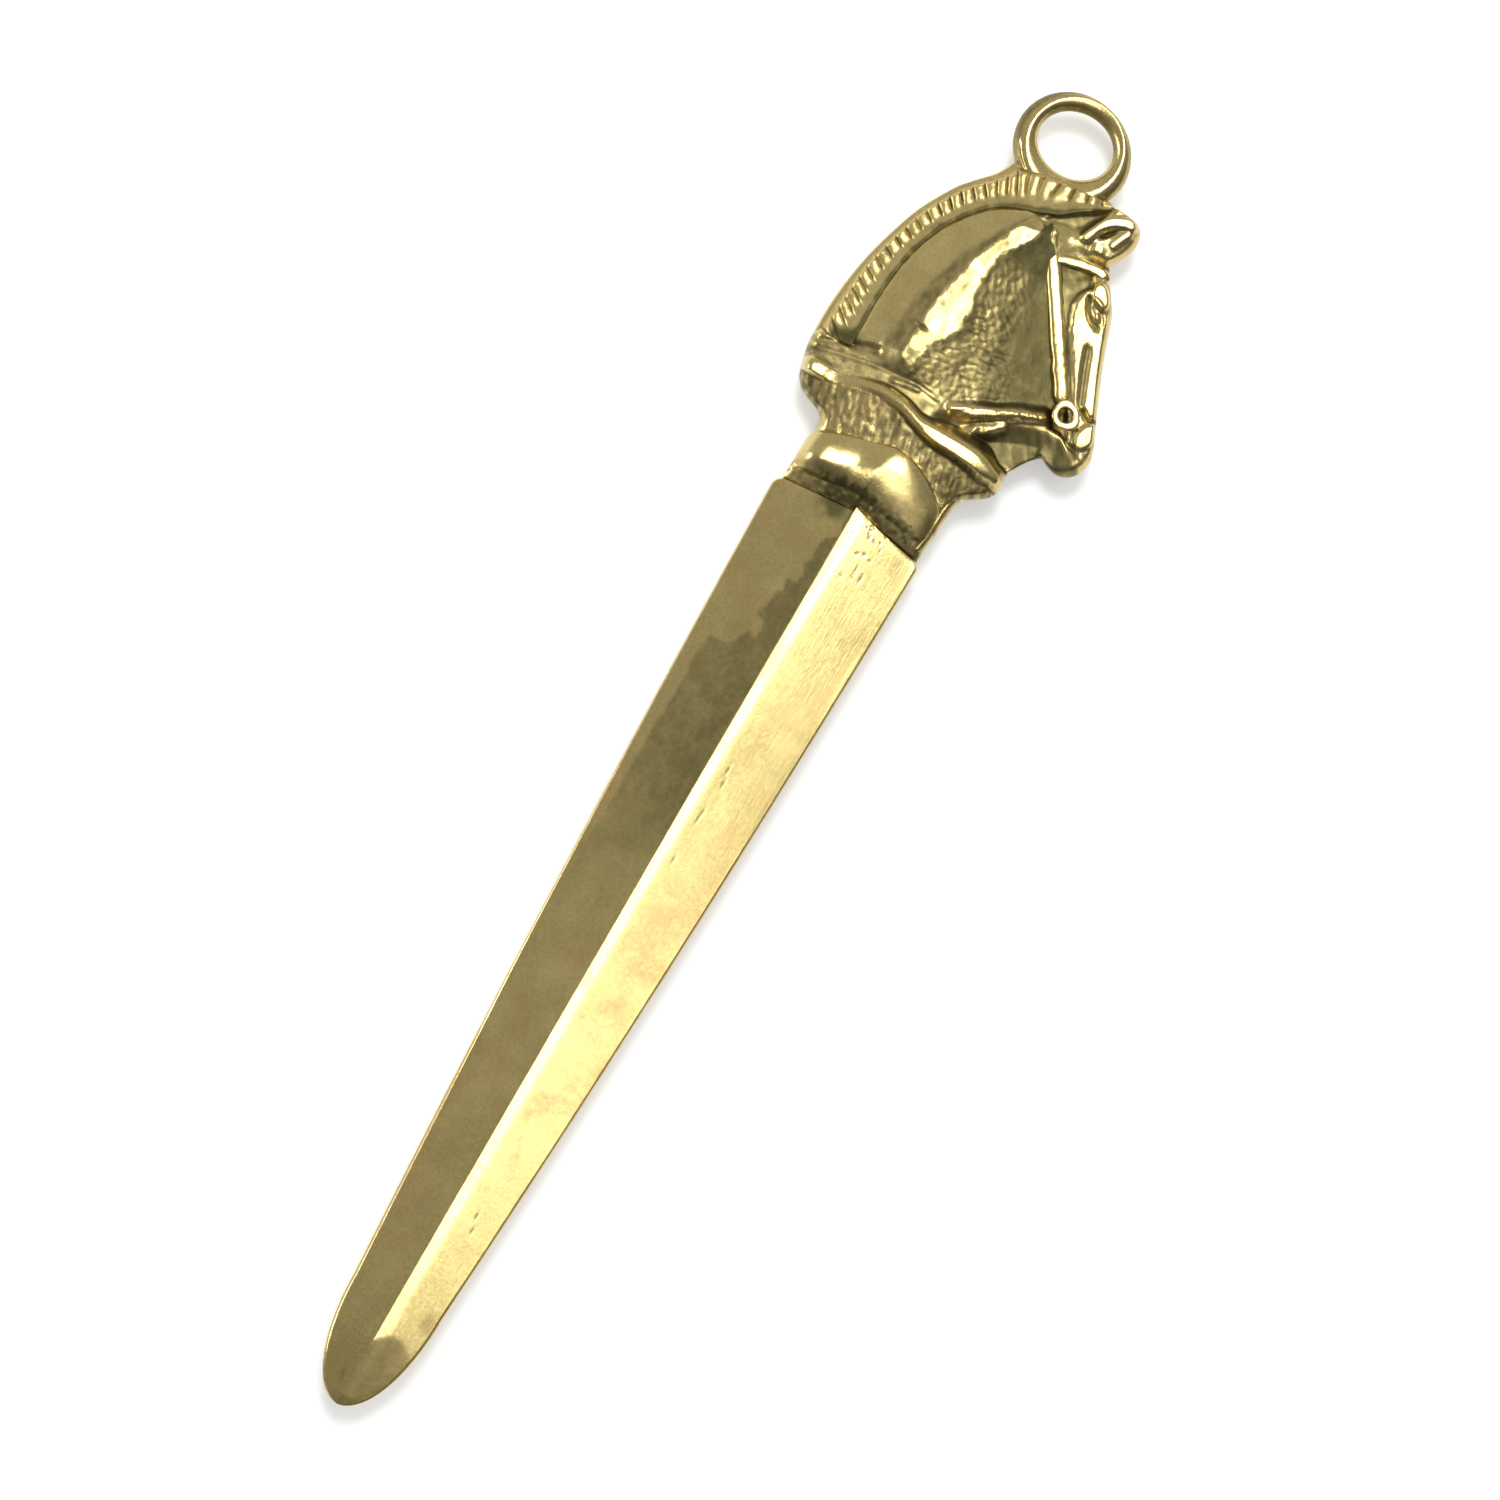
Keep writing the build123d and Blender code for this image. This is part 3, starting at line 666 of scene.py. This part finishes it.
def ear(x, y, ground):
    """The ear as a leaf that falls away to the front, with its opening, the bright rolled edge behind it,
    the fold in front of it, and strands of forelock hanging below."""
    z = 2.35 - 0.2 * np.maximum(x - 9.5, 0) - 0.9 * ear_hollow(x, y)
    for line, half, top in ear_folds:
        off = np.abs(off_line(x, y, line))
        z = higher(z, top - 0.08 * (x - 9) - 1.2 * np.maximum(off - half, 0) ** 1.5, 0.15)
    strands = unevenness((x + 0.15 * y) / 0.5, y / 2.2, 31)
    z = z + 0.24 * strands * mound(oval_share(x, y, (8.4, 42.0), 2.6, 1.2, 0))
    share = ear_share(x, y)
    z = ground + (z - ground) * share
    poll = ease(40.0, 42.4, y - 0.25 * (x - 2)) * (1 - share) * ease(-1.5, 2, x)
    z = z + (2.15 - 0.12 * (x - 3) - z) * poll
    return z + 0.4 * mound(oval_share(x, y, (2.3, 42.6), 1.1, 0.8, 40))


base_beads = [
    ([(-14.3, 16.7), (-12.0, 17.6), (-10.0, 18.5), (-7.6, 19.3)], 0.55, 0.18),
    ([(-14.0, 16.2), (-11.5, 17.1), (-9.8, 17.8)], 0.45, -0.15),
    ([(-9.8, 17.5), (-8.4, 18.0), (-7.0, 18.4)], 0.75, -0.25),
    ([(-7.2, 19.3), (-6.6, 18.9), (-6.5, 18.2)], 0.4, 0.1),
    ([(-14.0, 15.2), (-10.0, 16.1), (-7.0, 16.7), (-4.0, 17.1), (-1.0, 17.3), (2.0, 17.0)], 0.45, -0.14),
    ([(-3.6, 16.3), (-1.9, 16.6), (-0.6, 16.75)], 0.55, 0.22),
]


def base(x, y, ground):
    """The flared foot of the neck: a low band with raised borders and a slot, above the rolled rim. The
    rim's top is a roll whose height bows along it and which is worn broad in two places, and the waist
    below is fluted."""
    share = 1 - ease(16.6, 19.6, y + 0.14 * (x + 4))
    band = 3.25 + 0.1 * unevenness(x / 5, y / 3, 8) + 0.03 * x - 0.0035 * (x + 1) ** 2
    z = ground + (band - ground) * share * (1 - ease(1.5, 5.0, x))
    for line, half, height in base_beads:
        z = z + bead(x, y, line, half, height)
    line, top, above, below = rim(x)
    off = np.abs(y - line) / np.where(y > line, above, below)
    worn = 0.6 + 4.4 * mound((x - 6.7) / 5.6) + 2.6 * mound((x + 11.5) / 2.5)
    steep = np.where(y > line, 0.9, 1.6)
    roll = top - (y - line) ** 2 / (2 * worn) - steep * np.clip(off - 0.6, 0, 4) ** 1.6
    flutes = 0.07 * unevenness((x + 0.25 * y) / 0.5, y / 2.6, 17) + 0.05 * unevenness(x / 0.4, y / 0.7, 19)
    waist = 2.3 + 0.27 * (y - 8.5) - 0.006 * x * x + flutes
    z = z + (waist - z) * (1 - ease(-1.0, 0.2, (y - line) / below)) * (y < line)
    return higher(z, roll, 0.25)


def relief(x, y):
    """Height of the bust's front over its middle plane: neck, face, throat, ear and base, each laid on the
    one before, and sunk under the mane beyond the mane's inner line."""
    z = throat(x, y, face(x, y, neck(x, y)))
    z = ear(x, y, z)
    beyond = off_line(x, y, mane_inner, 60)
    z = z - 0.3 * mound(np.minimum(beyond, 0) / 0.8) * ease(17, 19, y)
    z = base(x, y, z)
    return z + (1.0 - z) * ease(-0.1, 0.45, beyond) * ease(17.0, 18.2, y)


def face_tarnish(x, y):
    """Darkness, from 0 to 1, of the channel beside the strap, the grooves of the face, the seat of the bit,
    the opening of the ear and the poll."""
    ear_here = ear_share(x, y)
    poll = ease(41.0, 42.4, y - 0.25 * (x - 2)) * (1 - ear_here) * ease(0.5, 2.0, x)
    dark = [mound(off_line(x, y, line) / (0.75 * half)) * 0.75 for line, half, _ in face_grooves]
    return np.maximum.reduce(dark + [
        (0.85 + 0.2 * unevenness(x / 0.6, y / 0.8, 61)) * channel(x, y),
        mound(np.hypot(x - bit_middle[0], y - bit_middle[1]) / 1.25),
        0.95 * ear_hollow(x, y) * ear_here,
        (0.8 + 0.15 * unevenness(x / 0.8, y / 0.8, 69)) * poll,
    ])


def neck_tarnish_and_shade(x, y):
    """Darkness, from 0 to 1, of the neck: the dull cheek right of the streak, tarnish with painted shade
    where it falls away towards the strap, the dark strip and the dent left of it, the strip being painted
    shade in the hollow beside the streak with some tarnish, and the patches in the streak itself, which is
    broken up at its lower end."""
    left, right = streak(y)
    past = x - right + 0.35 * unevenness(x / 0.6, y / 0.6, 65)
    plain = np.maximum(ease(3.0, 6.0, past - 0.6 * np.maximum(27 - y, 0)), ease(33, 36.5, y))
    # Painted shade with tarnish: the cheek darkens where it falls away from the streak towards the strap.
    cheek = ease(0.0, 0.5, past) * (0.78 - 0.22 * ease(0.5, 1.8, past) * (1 - plain) + 0.12 * plain)
    cheek = cheek * (1 - ease(0.0, 0.4, face_lines(x, y)[1])) * (1 - ear_share(x, y))
    cheek = cheek * ease(16.5, 18.5, y - 0.3 * (x - 4)) * (1 - ease(45.5, 47, y))
    cheek = cheek + 0.1 * unevenness(x / 1.1, y / 1.4, 63) * (cheek > 0.3)
    # Painted shade with tarnish: a dark strip in the hollow just left of the streak.
    wide = np.interp(y, [20, 24, 28, 33, 37, 41], [3.0, 3.1, 2.5, 2.2, 1.5, 0.8])
    beside = ease(-0.1, 0.3, left - x) * (1 - ease(wide - 1.0, wide + 0.6, left - x)) * ease(18.5, 20, y)
    dusky = (0.6 + 0.15 * unevenness(x / 0.5, y / 0.9, 64)) * beside
    dent = 0.9 * mound(oval_share(x, y, (-4.0, 23.4), 1.5, 0.5, -8))
    inside = ease(-0.2, 0.3, x - left) * ease(-0.2, 0.3, right - x) * ease(17.5, 19, y)
    patchy = 0.42 + 0.22 * unevenness(x / 0.6, y / 1.0, 68) + 0.12 * unevenness(x / 0.3, y / 0.35, 70)
    broken = ease(0.0, 0.22, unevenness(x / 0.55, y / 0.75, 66))
    broken = broken * (1 - ease(22.2, 24.6, y)) * ease(17.5, 18.5, y)
    broken = 0.75 * broken * mound((x - (left + right) / 2) / 2.6)
    return np.maximum.reduce([cheek, dusky, dent, patchy * inside, broken])


def base_tarnish_and_shade(x, y):
    """Darkness, from 0 to 1, of the fluted waist, which is tarnish with painted shade under the rim, the
    band above the rim, and the painted shade in the hollow under the jaw.
    """
    over_rim = y - rim(x)[0]
    # Tarnish with painted shade: the waist lies in the recess under the rolled rim.
    waist_shade_and_dirt = 0.45 - 0.3 * mound((x + 5.5) / 4.0) + 0.25 * ease(-8.5, -11, x) + 0.22 * ease(3, 8, x)
    waist_shade_and_dirt = waist_shade_and_dirt + 0.3 * unevenness((x + 0.25 * y) / 0.32, y / 1.9, 67)
    waist_shade_and_dirt = waist_shade_and_dirt + 0.2 * unevenness(x / 0.4, y / 0.7, 19)
    waist_shade_and_dirt = waist_shade_and_dirt * ease(6.0, 8.5, y + 0.05 * x) * (1 - ease(-1.5, -0.7, over_rim - 0.3))
    dull = (0.52 + 0.3 * unevenness(x / 0.9, y / 0.5, 77)) * (1 - ease(17.6, 19.6, y + 0.14 * (x + 4)))
    dull = dull * ease(0.7, 1.3, over_rim) * (1 - ease(2.5, 5.0, x))
    dull = dull * (1 - mound(oval_share(x, y, (-1.9, 16.55), 2.1, 0.7, 8)))
    jaw = np.interp(x, [3, 6, 10, 13.6, 17, 18.5, 21], [15.8, 17.0, 19.0, 20.7, 20.9, 19.9, 18.6])
    under_jaw = (1 - ease(-1.1, 0, y - jaw)) * ease(3.0, 6.0, x) * ease(13.9, 14.6, y)
    shade = (0.84 + 0.12 * file_marks(x, y)) * under_jaw * (1 - 0.18 * ease(17.5, 20, x))
    return np.maximum.reduce([waist_shade_and_dirt, dull, shade])


edge_round = 1.1
heel_round = 1.2
look_around = 0.55


def make_bust():
    """Rungs from the back of the bust to its front edge, bent at the spine and joined into closed loops
    over both sides. Height over the middle plane comes from the relief, rounded off to nothing at the
    edges. A point is in a hollow by how far it lies under the mean of eight points around it, and the jaw's
    edges are bare."""
    back_x, back_y, bend_y, edge_x, edge_y = through(rungs, 390).T[:, :, None]
    bend_x = spine(bend_y)
    s = spaced((0, 0.14, 6), (0.14, 1, 62))
    t = np.append(spaced((0, 0.86, 42)), 1 - 0.14 * np.linspace(1, 0, 15) ** 1.6)
    x = np.concatenate([back_x + (bend_x - back_x) * s, bend_x + (edge_x - bend_x) * t], 1)
    y = np.concatenate([back_y + (bend_y - back_y) * s, bend_y + (edge_y - bend_y) * t], 1)
    from_edge, from_back = np.hypot(x - edge_x, y - edge_y), np.hypot(x - back_x, y - back_y)
    round_off = np.sqrt(1 - (1 - np.clip(from_edge / edge_round, 0, 1)) ** 2)
    heel = np.sqrt(1 - (1 - np.clip(from_back / heel_round, 0, 1)) ** 2)
    shown = relief(x, y)
    around = np.zeros_like(shown)
    for turn in np.arange(8) * math.pi / 4:
        around += relief(x + look_around * math.cos(turn), y + look_around * math.sin(turn)) / 8
    sunk = np.clip((around - shown) * 3.2 + 0.08, 0, 1)
    dark = [sunk, rough_skin(x, y), face_tarnish(x, y), neck_tarnish_and_shade(x, y), base_tarnish_and_shade(x, y)]
    bare = np.maximum(mound(off_line(x, y, jaw_line) / 0.95), 0.85 * mound(off_line(x, y, jaw_flap) / 0.8))
    crevice = np.clip(np.maximum.reduce(dark), 0, 1) * (1 - bare)
    return front_and_back(x, y, np.maximum(shown, 0.25) * round_off * heel, crevice)


bust = piece("horse_bust", make_bust())
fit(bust, brass("cast_brass", 0.3, 0.22, 1.6), "handle_brass", "horse_head")

# Mane: a roll of about thirty slanted plaits along the crest of the neck, from the rim to the ear, with a
# thin plain flange outside it. It is cast brass, dark between the plaits and rubbed bright on top.
mane_outer = [
    (-14.85, 17.0), (-14.87, 20.0), (-14.55, 24.0), (-13.85, 28.0), (-12.75, 32.0), (-11.3, 36.0),
    (-9.05, 40.0), (-7.45, 42.0), (-5.6, 44.0), (-4.75, 45.4), (-4.2, 46.5), (-2.8, 47.15), (0.0, 47.5),
    (3.0, 47.7), (6.0, 47.8), (8.3, 47.9),
]
plait_pitch = 1.5
plait_leans = [
    (0, 0.85), (10, 0.75), (18, 0.5), (25, 0.35), (30, 0.55), (34, 0.6), (37, 0.44), (40, 0.15), (43, -0.2),
]


def make_mane():
    """Strip from the flange to the crease, carried along the crest: it climbs evenly across, with the
    plaits as a row of rounded ribs that start at the flange, lean back along the strip and fade before the
    crease."""
    outer, inner = through(mane_outer, 900), through(mane_inner, 900)
    middle = outer * 0.55 + inner * 0.45
    run = np.concatenate([[0], np.cumsum(np.hypot(*np.diff(middle, axis=0).T))])[:, None]
    flange = [0, 0.008, 0.02, 0.04, 0.08, 0.12]
    v = np.concatenate([flange, np.linspace(0.15, 0.7, 30), np.linspace(0.74, 1.06, 8)])
    x = outer[:, :1] + (inner - outer)[:, :1] * v
    y = outer[:, 1:] + (inner - outer)[:, 1:] * v
    width = np.hypot(*(inner - outer).T)[:, None]
    lean = np.interp(run, *zip(*plait_leans))
    phase = (run + lean * width * v) / plait_pitch + 0.15 * unevenness(run / 4, 0 * run, 3)
    part = phase - np.floor(phase)
    crown = np.sqrt(np.clip(1 - (np.abs(2 * part - 1) / 0.93) ** 2, 0, 1))
    across = ease(0.16, 0.26, v) * (1 - ease(0.52, 0.84, v))
    across = across * (0.85 + 0.25 * unevenness(np.floor(phase) + 0.5, 3 * v, 45))
    low_end = 1 - 0.3 * (1 - ease(0, 14, run))
    z = np.sqrt(np.clip(v / 0.05, 0, 1)) + 0.75 * ease(0.12, 0.3, v) + 0.6 * ease(0.55, 1.0, v)
    z = z + low_end * across * (0.46 * crown - 0.1) + 0.04 * width * (v - 0.3)
    z = z + 0.05 * ease(0.1, 0.2, v) * unevenness(x / 0.9, y / 0.9, 41)
    z = z + 0.5 * (1 - ease(0.2, 2.0, run)) * ease(0.2, 0.6, v)
    z = np.maximum(z * (1 - 0.39 * ease(run.max() - 3, run.max(), run)), 0.02)
    z[:, 0] = 0
    groove = across * (0.9 - 1.1 * crown)
    dull = (0.3 + 0.25 * unevenness(x / 0.8, y / 0.8, 43)) * ease(0.55, 0.85, v)
    foot = 0.85 * (1 - ease(0.6, 3.0, run)) * ease(0.2, 0.5, v)
    crevice = np.clip(np.maximum(groove, dull) + 0.6 * ease(0.88, 0.98, v) + foot, 0, 1)
    return front_and_back(x, y, z, crevice, shared=False)


mane = piece("mane_plaits", make_mane())
fit(mane, brass("plaited_cast_brass", 0.4, 0.3, 1.6), "mane_brass", "plaited_mane")

# Bridle straps: a cheek strap from the poll to the bit on each side, flat on top with soft edges. They are
# the highest lines of the cheek, so handling keeps them bright.
strap_line = [(3.9, 41.6), (4.9, 39.4), (6.8, 36.6), (9.0, 33.3), (11.4, 29.8), (13.2, 27.1), (15.3, 24.1)]
strap_tops = [3.4, 2.64, 2.44, 2.25, 2.05, 1.85]


def make_band(keys, half_wide, tops, tilt, taper, thin_start=1.0):
    """A low band carried along a line on the head: its section is a flat-topped mound, buried below, whose
    top runs through evenly spaced heights, tilted a little towards the face. The taper draws it in at its
    ends, the share thin_start narrows its first fifth, and its top and its sides are a little uneven."""
    line = through(keys, 160)
    along = np.gradient(line, axis=0)
    along /= np.hypot(*along.T)[:, None]
    turn = circle(40)
    share = np.linspace(0, 1, 160)[:, None]
    ends = np.clip(np.minimum(share, 1 - share) / taper, 0, 1) ** 0.5
    half = half_wide * (0.35 + 0.65 * ends) * (thin_start + (1 - thin_start) * ease(0.0, 0.22, share))
    part = keep_sign(np.cos(turn), 0.75)
    across = part * half * (1 + 0.07 * unevenness(15 * share, 4 * np.sign(part), 83))
    x = line[:, :1] - along[:, 1:] * across
    y = line[:, 1:] + along[:, :1] * across
    crown = np.where(np.sin(turn) > 0, -0.6 * np.abs(part) ** 4, 1.2 * np.sin(turn) - 0.6)
    z = np.interp(share, np.linspace(0, 1, len(tops)), tops) - 0.4 * (1 - ends) + crown + tilt * across
    z = z + 0.025 * unevenness(x / 0.6, y / 0.6, 81) * (np.sin(turn) > 0.2)
    crevice = 0.7 * ease(0.2, -0.5, np.sin(turn)) + 0 * z
    return (x, y, z), crevice


def both_sides(shape, hollow, ring=False):
    """The same closed skin, with its hollows, on the front and, turned over, on the back."""
    x, y, z = shape
    return (skin(x, y, z, ring), hollow), (skin(x, y, -z, ring), hollow)


straps = piece("cheek_strap_pair", *both_sides(*make_band(strap_line, 1.05, strap_tops, -0.06, 0.04, 0.5)))
bridle_brass = brass("handled_brass", 0.3, 0.21, 1.0)
fit(straps, bridle_brass, "bridle_brass", "cheek_straps")

# Browbands: the short strap across each side of the forehead under the ear, cast with the head and rubbed
# bright on top like the cheek straps.
brow_line = [(5.3, 38.4), (7.0, 39.0), (9.0, 39.55), (11.0, 39.8), (12.6, 39.5)]
browbands = piece("browband_pair", *both_sides(*make_band(brow_line, 0.75, [2.7, 2.3], 0.02, 0.12)))
fit(browbands, bridle_brass, "bridle_brass", "browbands")

# Bit rings: a flat pear-shaped eye at each corner of the mouth, where the cheek strap ends, with a small
# drilled hole that is dark inside.
bit_hole = 0.82


def make_bit_ring():
    """Flat ring with rounded edges: round inside, and outside drawn out towards the strap and the lips."""
    turn, tip = circle(96)[:, None], circle(28)
    outer = 1.68 + 0.3 * mound((np.mod(turn - 2.15 + np.pi, 2 * np.pi) - np.pi) / 0.9)
    outer = outer + 0.35 * mound((np.mod(turn + 0.35 + np.pi, 2 * np.pi) - np.pi) / 0.9)
    middle, half = (outer + bit_hole) / 2, (outer - bit_hole) / 2
    r = middle + half * keep_sign(np.cos(tip), 0.6)
    x, y = bit_middle[0] + r * np.cos(turn), bit_middle[1] + r * np.sin(turn)
    z = 1.8 + 0.65 * keep_sign(np.sin(tip), 0.35) - 0.07 * r * np.cos(turn)
    crevice = 0.9 * ease(0.4, -0.2, np.sin(tip)) * ease(0.2, 0.9, -np.cos(tip)) + 0 * z
    return (x, y, z), crevice


bits = piece("bit_ring_pair", *both_sides(*make_bit_ring(), ring=True))
fit(bits, bridle_brass, "bridle_brass", "bit_rings")

# Hanging ring: a plain thick ring on the crest, cast with the mane, so its foot runs into the flange.
# Inside, its wall slopes down to an oval hole that sits a little high.
ring_middle = (1.05, 51.0)
crest_radius = 5.85
crest_rise = 0.45
hole_half_wide = 4.72
hole_half_high = 3.88
hole_rise = 0.75


def make_ring():
    """Ring whose section is a quarter oval outside and another inside of one crest line: the outside is a
    leaning oval, the crest a circle, and the hole an oval of its own, each given as a distance from one
    middle point."""
    turn, tip = circle(220)[:, None], circle(48)
    c, s = np.cos(turn), np.sin(turn)
    outer = 7.05 + 0.35 * np.cos(2 * (turn + 0.26))
    crest = crest_rise * s + np.sqrt(crest_radius ** 2 - (crest_rise * c) ** 2)
    k = (c / hole_half_wide) ** 2 + (s / hole_half_high) ** 2
    h = s * hole_rise / hole_half_high ** 2
    hole = (h + np.sqrt(h * h - k * ((hole_rise / hole_half_high) ** 2 - 1))) / k
    span = np.where(np.cos(tip) > 0, outer - crest, crest - hole)
    r = crest + span * np.cos(tip)
    x, y = ring_middle[0] + r * c, ring_middle[1] + r * s
    foot = mound((turn - 3.78) / 0.6)
    edge, groove = mound((r - outer + 0.45) / 0.42), mound((r - crest - 0.45) / 0.35)
    lift = foot * np.sin(tip) * (0.5 * edge - 0.15 * groove)
    z = 1.3 * keep_sign(np.sin(tip), 1.25) + lift
    # Tarnish with painted shade: the inner wall is dark, and darker at the top, where it faces down.
    crevice = (0.25 + 0.5 * ease(-0.2, 0.6, s)) * ease(0.25, 0.9, -np.cos(tip)) + 0 * z
    # Tarnish on the outer face, with painted shade that darkens its left and top sides.
    outside = (0.62 - 0.12 * c + 0.12 * s) * ease(0.1, 0.7, np.cos(tip))
    return skin(x, y, z, ring=True), np.maximum.reduce([crevice, outside, 0.5 * foot * groove])


ring = piece("crest_ring", make_ring())
fit(ring, brass("ring_cast_brass", 0.25, 0.17, 0.9), "ring_brass", "hanging_ring")

# Table: a plain white sheet under the opener, which keeps its soft shadow. A little of its own light lifts
# it to white where the camera sees it, and where the brass mirrors it.
table_mesh = bpy.data.meshes.new("table")
reach = 3.0
corners = [(-reach, -reach, 0), (reach, -reach, 0), (reach, reach, 0), (-reach, reach, 0)]
table_mesh.from_pydata(corners, [], [(0, 1, 2, 3)])
table = bpy.data.objects.new("table", table_mesh)
bpy.context.scene.collection.objects.link(table)
sheet_white = (0.92, 0.92, 0.92, 1)
unlit = (0, 0, 0, 1)
own_light = (0.3, 0.3, 0.3, 1)
white = bpy.data.materials.new("white_sheet")
white.use_nodes = True
paper = white.node_tree
sheet = paper.nodes["Principled BSDF"]
sheet.inputs["Base Color"].default_value = sheet_white
sheet.inputs["Roughness"].default_value = 0.9
sheet.inputs["Specular IOR Level"].default_value = 0.1
sheet.inputs["Emission Strength"].default_value = 1.0
ray_kind = node(paper, "ShaderNodeLightPath").outputs
mirrored = sums(paper, "MAXIMUM", ray_kind["Is Glossy Ray"], ray_kind["Is Transmission Ray"])
seen = sums(paper, "MAXIMUM", ray_kind["Is Camera Ray"], mirrored)
glow = blend_colour(paper, seen, unlit, own_light)
paper.links.new(glow, sheet.inputs["Emission Color"])
table_mesh.materials.append(white)

# Light: a grey room, lighter behind the crest, with soft boxes overhead that the blade, its ridge and the
# head mirror. A lamp past the crest lays the shadow, and a low one lights the blade's left edge.
lighter_side = (-0.22, 0.22, 0.0)
world = bpy.data.worlds.new("room")
bpy.context.scene.world = world
world.use_nodes = True
room = world.node_tree
ray = node(room, "ShaderNodeTexCoord").outputs["Generated"]
ends = [(0, ray), (1, lighter_side)]
lean = node(room, "ShaderNodeVectorMath", ends, operation="DOT_PRODUCT").outputs["Value"]
ends = [("Value", lean), ("From Min", -0.3), ("From Max", 0.22), ("To Min", 0.1), ("To Max", 0.55)]
grey = node(room, "ShaderNodeMapRange", ends).outputs[0]
room.links.new(grey, room.nodes["Background"].inputs["Color"])


def lamp(name, place, aim, wide, long, glow, shape="RECTANGLE"):
    """A soft box of a given size, at a place in millimetres from the shoulder, turned to face its aim. Its
    glow is the brightness of its face, where 1 is white."""
    light = bpy.data.lights.new(name, "AREA")
    light.shape, light.size, light.size_y = shape, wide * mm, long * mm
    light.energy = glow * math.pi * wide * long * mm * mm
    thing = bpy.data.objects.new(name, light)
    bpy.context.scene.collection.objects.link(thing)
    start, end = np.array(place) * mm + shoulder, np.array(aim) * mm + shoulder
    thing.location = start
    thing.rotation_euler = Vector(end - start).to_track_quat("-Z", "Y").to_euler()
    return thing


def overhead(name, x, y, height, wide, long, glow, shape="RECTANGLE"):
    """A soft box that faces straight down."""
    return lamp(name, (x, y, height), (x, y, 0), wide, long, glow, shape)


overhead("blade_box", 124, -118, 600, 182, 228, 0.88)
overhead("pale_box", 135, -157, 599, 150, 156, 0.5)
overhead("upper_patch", 135, -97, 598, 150, 26, 0.75)
overhead("lower_patch", 135, -157, 598, 150, 56, 0.75)
ridge_strip = overhead("ridge_strip", 38, -105, 598, 64, 240, 6.5)
ridge_strip.rotation_euler.z -= math.radians(5)
overhead("soft_box", 122, 172, 599, 190, 360, 1.5, "ELLIPSE")
bright_core = overhead("bright_core", 98, 170, 598, 140, 330, 8.0, "ELLIPSE")
bright_core.visible_diffuse = False
edge_lamp = lamp("edge_lamp", (-700, -300, 250), (0, -100, 0), 380, 170, 9.0)
edge_lamp.visible_diffuse = False
edge_lamp.visible_camera = False
shadow_lamp = lamp("shadow_lamp", (-130, 360, 780), (0, -20, 0), 240, 240, 20.0)
shadow_lamp.visible_glossy = False

# Camera: straight above at about half a metre, turned so that the opener lies aslant with its tip at the
# lower left. The lens is set so that the picture is as wide as the opener is long.
camera_height = 480
camera_turn = 30.087
frame_width = 179.12
lens_aim = (3.61, -30.16)
camera_data = bpy.data.cameras.new("camera")
camera_data.sensor_width = 36
camera_data.lens = camera_data.sensor_width * camera_height / frame_width
camera = bpy.data.objects.new("camera", camera_data)
bpy.context.scene.collection.objects.link(camera)
camera.location = np.array([*lens_aim, camera_height]) * mm + shoulder
camera.rotation_euler = (0, 0, math.radians(camera_turn))
bpy.context.scene.camera = camera
bpy.context.scene.view_settings.view_transform = "Standard"
